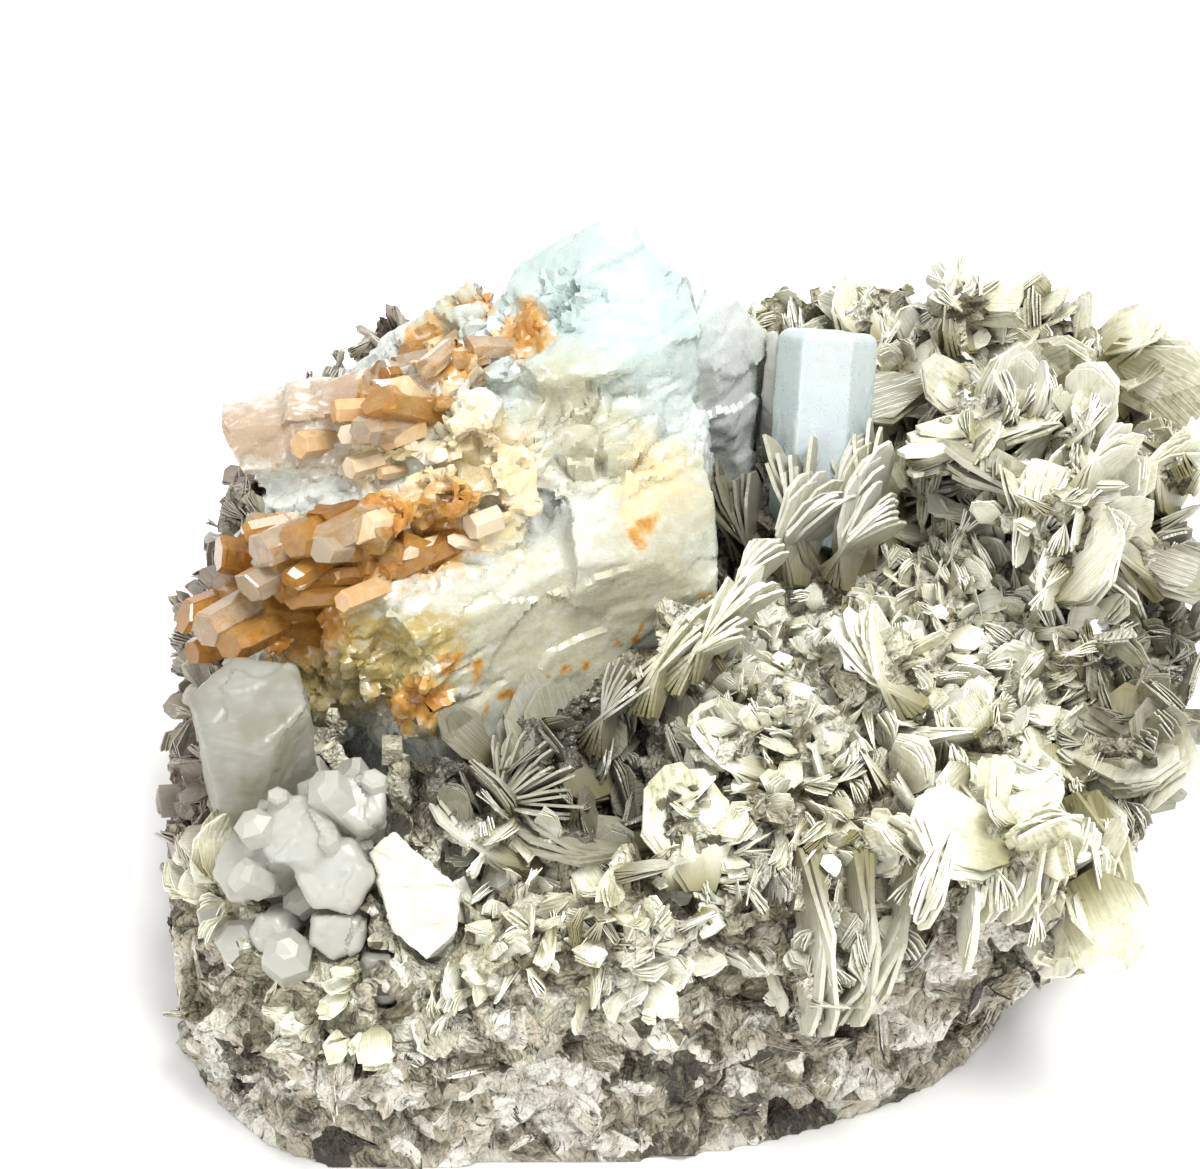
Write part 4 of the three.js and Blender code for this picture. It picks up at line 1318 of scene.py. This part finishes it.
# %% [markdown]
# ## The large aquamarine
#
# The crystal keeps the solid's planes. Growth has left long low steps on them, drawn out along the prism,
# and etching has pitted them. Stains are set where they show on the real stone: each is a ball round the
# point of the surface that is seen there, so that it also colours the sides of what it covers. The brown
# at the left is partly stain and partly painted shadow.

# %% Where the stone is stained, and where shadow is painted on it
STAINS_AND_SHADOW = {
    "rust": [
        (270, 590, 6), (310, 570, 7), (345, 548, 6.5), (400, 530, 6.5), (435, 545, 5), (240, 620, 5),
        (290, 640, 5), (420, 410, 3), (450, 345, 5), (490, 315, 4.5), (520, 330, 4), (420, 355, 4.5),
        (385, 400, 4), (652, 522, 1.4), (640, 535, 1.2), (455, 662, 2.2), (422, 700, 3.2), (395, 712, 3),
        (280, 530, 4.5), (460, 508, 4), (500, 300, 3.5), (320, 610, 5), (365, 520, 5.5), (475, 675, 1.5),
    ],
    "peach": [
        (480, 460, 8), (440, 485, 7), (520, 470, 5), (380, 455, 5),
        (500, 520, 5), (660, 470, 5), (640, 500, 4),
    ],
    "pink": [
        (260, 500, 7), (300, 420, 8), (345, 395, 6), (250, 430, 6),
        (380, 380, 5), (365, 450, 5), (480, 530, 3),
    ],
    # Brown: partly stain, partly painted shadow on the left side.
    "brown": [(215, 560, 8), (225, 600, 7), (215, 650, 8), (250, 650, 6), (235, 540, 6)],
    "olive": [
        (330, 680, 9), (380, 660, 8), (350, 640, 7), (400, 690, 7),
        (300, 700, 6), (290, 640, 4), (430, 640, 5),
    ],
    "yellow": [
        (560, 640, 14), (480, 660, 12), (640, 590, 12), (600, 440, 9),
        (680, 500, 9), (560, 400, 7), (440, 320, 6),
    ],
    "blue": [(600, 300, 18), (560, 260, 12), (705, 520, 4), (430, 290, 7), (650, 250, 9)],
}
EDGE_STAIN = [(440 + 282 * t / 13, 733 - 146 * t / 13, 0.9) for t in range(14)]
STAINS_AND_SHADOW["rust"] += EDGE_STAIN
large_near = tree_of_faces("large_aquamarine")


def stain_and_shadow_values(mesh, with_stains_and_shadow=False):
    places = points_of(mesh)
    warp = np.stack([grain(places, 3.5, s, 2) for s in (2.0, 7.0, 11.0)], axis=1) * 1.6 * MM
    for key in ("blue", "yellow", "olive", "pink", "peach", "brown", "rust"):
        value = np.zeros(len(places))
        for px, py, radius in STAINS_AND_SHADOW[key] if with_stains_and_shadow else ():
            centre = seen_on(large_near, px, py)
            if centre is not None:
                away = np.linalg.norm(places + warp - np.array(centre), axis=1) / (radius * MM)
                value = np.maximum(value, np.clip(1.45 - away, 0, 1))
        keep_values(mesh, key, value)


def drawn_along(points, axis, share):
    """The points in the crystal's own axes, shortened along its length so that patterns come out long."""
    axis = Vector(axis).normalized()
    side = axis.cross(Vector((0.1, 0.2, 1))).normalized()
    return np.stack([points @ np.array(v) for v in (axis * share, side, axis.cross(side))], axis=1)


def crystal_surface(node, voxel, axis, step, etch, seed, rounds=1, chunks=()):
    """The solid's surface, broken into long low facets along the crystal's axis and finely etched."""
    mesh = cad_mesh(node, voxel)
    places = averaged(mesh, points_of(mesh), rounds, 0.6)
    move_points(mesh, places)
    ways = normals_of(mesh)
    local = drawn_along(places, axis, 0.35)
    plates = cleaved(local, 5.5, 0.1, seed)[0] + 0.5 * cleaved(local, 2.4, 0.14, seed + 1)[0]
    swell = grain(places, 12.0, seed + 5) + 0.5 * grain(places, 5.0, seed + 7)
    fine = grain(places, 1.3, seed + 9)
    move = step * (plates + swell - 0.5) + etch * fine
    if chunks:
        local = drawn_along(places, axis, 0.5)
        coarse = cleaved(local, 4.2, 0.5, seed + 2)
        small = cleaved(local, 2.2, 0.55, seed + 3)
        broken = 0.9 * coarse[0] + 0.7 * small[0] - 0.5 * coarse[2] - 0.3 * small[2]
        move += patch(places, chunks, 0.8) * (broken - 0.3)
    move_points(mesh, places + ways * (move * MM)[:, None])
    mesh.shade_smooth()
    mesh.set_sharp_from_angle(angle=0.7)
    return mesh


# %% The large aquamarine
SEAMS = [
    (330, 555, 140, 55), (460, 330, 80, 50), (400, 410, 80, 60), (250, 620, 70, 60), (350, 690, 110, 50),
    (500, 480, 120, 50), (610, 430, 90, 50), (560, 300, 40, 30),
]
large_mesh = crystal_surface("large_aquamarine", 0.55, (0.808, 0.589, 0), 0.3, 0.08, 2, chunks=SEAMS)
stain_and_shadow_values(large_mesh, with_stains_and_shadow=True)
finish_piece(object_of(large_mesh, "large_aquamarine_crystal"), "aquamarine", aquamarine, "large_aquamarine")

# %% [markdown]
# ## Prisms in the seams
#
# Small beryl prisms grew in the cavities of the large one and iron has stained them amber. This tree sets
# six-sided prisms on a surface, most of them leaning the same way, as crystals of one generation do.

# %% Geometry tree that grows prisms
def prism_mesh(name, bevel, slant):
    rings = []
    for height, radius, tilt in ((-0.25, 1.0, 0.0), (1 - bevel, 1.0, slant), (1.0, 1 - 1.4 * bevel, slant)):
        for k in range(6):
            angle = k * np.pi / 3
            rings.append((radius * np.cos(angle), radius * np.sin(angle), height + tilt * np.cos(angle)))
    faces = [tuple(range(5, -1, -1)), tuple(range(12, 18))]
    for low in (0, 6):
        faces += [(low + k, low + (k + 1) % 6, low + 6 + (k + 1) % 6, low + 6 + k) for k in range(6)]
    mesh = bpy.data.meshes.new(name)
    mesh.from_pydata(rings, [], faces)
    return mesh


sharp_prisms = shape_collection(
    "prisms",
    [
        prism_mesh("flat_prism", 0.06, 0.0),
        prism_mesh("worn_prism", 0.16, 0.05),
        prism_mesh("slant_prism", 0.05, 0.16),
    ],
)
worn_prisms = shape_collection(
    "worn prisms",
    [
        prism_mesh("round_prism", 0.3, 0.1),
        prism_mesh("blunt_prism", 0.22, 0.25),
        prism_mesh("low_prism", 0.4, 0.0),
    ],
)
grow_prisms, prism_in, prism_out = new_tree(
    "Grow prisms",
    [
        ("Least distance", "Float", 0.0015),
        ("Thinnest", "Float", 0.0005),
        ("Thickest", "Float", 0.0014),
        ("Shortest", "Float", 1.6),
        ("Longest", "Float", 4.5),
        ("Growth way", "Vector", None),
        ("Rising", "Float", 0.4),
        ("Seed", "Int", 1),
        ("Prism shapes", "Collection", None),
        ("Material", "Material", None),
    ],
)
MOST_PRISMS = 3000000.0  # per square metre: so many that the least distance alone decides
seeded = dropped_points(
    grow_prisms,
    prism_in.outputs["Geometry"],
    prism_in.outputs["Least distance"],
    MOST_PRISMS,
    "crust",
    prism_in.outputs["Seed"],
)
prism_normal = seeded.outputs["Normal"]
prism_way = added(
    grow_prisms, prism_in.outputs["Growth way"], scaled(grow_prisms, prism_normal, prism_in.outputs["Rising"])
)
prism_way = added(grow_prisms, prism_way, scaled(grow_prisms, random_way(grow_prisms, 3), 0.3))
prism_turn = turned_to(grow_prisms, "Z", prism_way, "X", random_way(grow_prisms, 4))
prism_radius = varied(grow_prisms, prism_in.outputs["Thinnest"], prism_in.outputs["Thickest"], 6)
prism_length = times(
    grow_prisms,
    prism_radius,
    varied(grow_prisms, prism_in.outputs["Shortest"], prism_in.outputs["Longest"], 8),
)
prism_sink = scaled(grow_prisms, prism_normal, times(grow_prisms, prism_radius, -0.25))
prism_spots = moved_by(grow_prisms, seeded.outputs["Points"], prism_sink)
prisms = copied_shapes(
    grow_prisms, prism_spots, prism_in.outputs["Prism shapes"], picked(grow_prisms, 2, 9), prism_turn,
    joined_xyz(grow_prisms, prism_radius, prism_radius, prism_length), 14, prism_in.outputs["Material"],
)
grow_prisms.links.new(prisms, prism_out.inputs["Geometry"])


def values_of(mesh, name):
    values = np.empty(len(mesh.vertices), dtype=np.float32)
    mesh.attributes[name].data.foreach_get("value", values)
    return values


def prism_piece(name, base, crust, material, slot, shapes, least, widths, lengths, seed, way, rising):
    """Grows prisms on a copy of base. Widths are radii in millimetres, lengths are in radii."""
    mesh = base.copy()
    keep_values(mesh, "crust", crust)
    ground = object_of(mesh, name + "_ground")
    use_tree(
        ground,
        grow_prisms,
        {
            "Least distance": least * MM,
            "Thinnest": widths[0] * MM,
            "Thickest": widths[1] * MM,
            "Shortest": lengths[0],
            "Longest": lengths[1],
            "Growth way": way,
            "Rising": rising,
            "Seed": seed,
            "Prism shapes": shapes,
            "Material": material,
        },
    )
    bpy.context.view_layer.update()
    grown_mesh = mesh_of(ground, name)
    bpy.data.objects.remove(ground)
    drop_values(grown_mesh, ["tone"])
    grown_mesh.materials.clear()
    finish_piece(object_of(grown_mesh, name), slot, material)


facing_up = normals_of(large_mesh)
open_side = np.clip(0.4 + facing_up[:, 2] - 0.6 * facing_up[:, 1], 0, 1)
large_spots = points_of(large_mesh)
seam = patch(large_spots, [(350, 555, 120, 46), (455, 345, 60, 32), (410, 405, 60, 34), (275, 620, 50, 46)])
rust = values_of(large_mesh, "rust") * seam * open_side
rosy = np.maximum(values_of(large_mesh, "pink"), values_of(large_mesh, "brown")) * open_side
rosy *= patch(large_spots, [(300, 575, 45, 40), (390, 450, 60, 50), (460, 530, 50, 25)])
rosy = np.maximum(rosy, 0.5 * rust)
ALONG = (-0.81, -0.55, 0.2)
SLENDER = (1.6, 4.5)
prism_piece(
    "amber_prisms", large_mesh, rust, amber_beryl, "aquamarine", sharp_prisms,
    2.7, (0.9, 2.4), SLENDER, 3, ALONG, 0.35,
)
prism_piece(
    "rosy_prisms", large_mesh, rosy, rosy_beryl, "aquamarine", sharp_prisms,
    3.6, (0.6, 1.9), SLENDER, 5, ALONG, 0.35,
)

# %% [markdown]
# ## The other crystals
#
# Each keeps its solid's planes, rounded at the edges by etching: the frosted ones more than the clear
# standing prism. The axis given is the one along which the steps of growth are drawn out.

# %% The other crystals
for node, voxel, axis, step, etch, mat, slot, rounds in (
    ("standing_aquamarine", 0.3, (0.06, 0.58, 0.81), 0.1, 0.04, clear_aquamarine, "aquamarine", 3),
    ("cloudy_beryl", 0.35, (0.1, 0.3, 1), 0.25, 0.12, cloudy_beryl, "cloudy_beryl", 5),
    ("squat_beryl", 0.33, (0, 0, 1), 0.22, 0.12, frosted_beryl, "frosted_beryl", 9),
    ("beryl_cluster", 0.3, (0, -0.6, 0.8), 0.25, 0.14, pale_beryl, "frosted_beryl", 9),
    ("small_beryl_1", 0.25, (0, -0.8, 0.5), 0.15, 0.08, pale_beryl, "frosted_beryl", 16),
    ("small_beryl_2", 0.25, (0, -0.8, 0.5), 0.2, 0.1, pale_beryl, "frosted_beryl", 10),
    ("small_beryl_3", 0.25, (0, -0.8, 0.5), 0.2, 0.1, frosted_beryl, "frosted_beryl", 12),
    ("small_beryl_4", 0.25, (0, -0.8, 0.5), 0.15, 0.08, pale_beryl, "frosted_beryl", 10),
):
    crystal_mesh = crystal_surface(node, voxel, axis, step, etch, 4, rounds)
    stain_and_shadow_values(crystal_mesh)
    finish_piece(object_of(crystal_mesh, node + "_crystal"), slot, mat, node)
    if node == "beryl_cluster":
        cluster_mesh = crystal_mesh

# %% [markdown]
# ## Small frosted prisms
#
# The same tree grows blunt prisms on the cluster and on the rock beside it, nearly all of them upright.

# %% Small frosted prisms round the cluster
cluster_crust = np.clip(0.3 + normals_of(cluster_mesh)[:, 2], 0, 1)
prism_piece(
    "frosted_prisms", cluster_mesh, cluster_crust, pale_beryl, "frosted_beryl", worn_prisms,
    5.0, (1.2, 3.3), (0.9, 2.2), 12, (-0.12, -0.3, 0.95), 0.3,
)
near_cluster = patch(moved, [(310, 850, 100, 90), (250, 950, 60, 60), (430, 880, 60, 45)]) * np.clip(up, 0, 1)
prism_piece(
    "bed_prisms", bed_mesh, near_cluster, pale_beryl, "frosted_beryl", worn_prisms,
    6.5, (1.8, 3.4), (0.8, 1.5), 15, (-0.12, -0.3, 0.9), 0.4,
)

# %% [markdown]
# ## Albite
#
# Albite is white, opaque feldspar with a satin lustre. It splits along flat steps, so its material is a
# near white with fine parallel layers and a little olive dust in the low places.

# %% Albite
albite_white, albite, albite_shader = new_material("white albite")
albite_place = millimetres(albite)
albite_layers = put(
    albite,
    "ShaderNodeMapping",
    {"Vector": albite_place, "Rotation": (0.5, 0.3, 0.6), "Scale": (0.3, 0.3, 2.2)},
).outputs[0]
albite_lines = cloud(albite, albite_layers, 1.0, 5.0)
albite_dust = spread_out(albite, cloud(albite, albite_place, 0.5, 5.0, 0.7), 0.52, 0.75, 0, 0.8)
albite_colour = tones(albite, albite_lines, (0.3, "#BDB9A8"), (0.55, "#D9D6C9"), (0.8, "#ECEAE2"))
albite_colour = blend(albite, albite_dust, albite_colour, colour("#C4BC9C"))
wire(
    albite, albite_shader,
    Base_Color=albite_colour,
    Roughness=spread_out(albite, albite_lines, 0.3, 0.7, 0.5, 0.28),
    Normal=bumped(albite, albite_lines, 0.5, 0.0004),
)
albite_shader.inputs["IOR"].default_value = 1.53
albite_mesh = crystal_surface("albite_blade", 0.3, (0.8, -0.3, 0.4), 0.4, 0.12, 6, 2)
finish_piece(object_of(albite_mesh, "albite_blade_crystal"), "albite", albite_white, "albite_blade")

# %% [markdown]
# ## The box of the solids
#
# The box of the solids is printed.

# %% Print the box of the solids and finish
print("cad box:", cad_box)
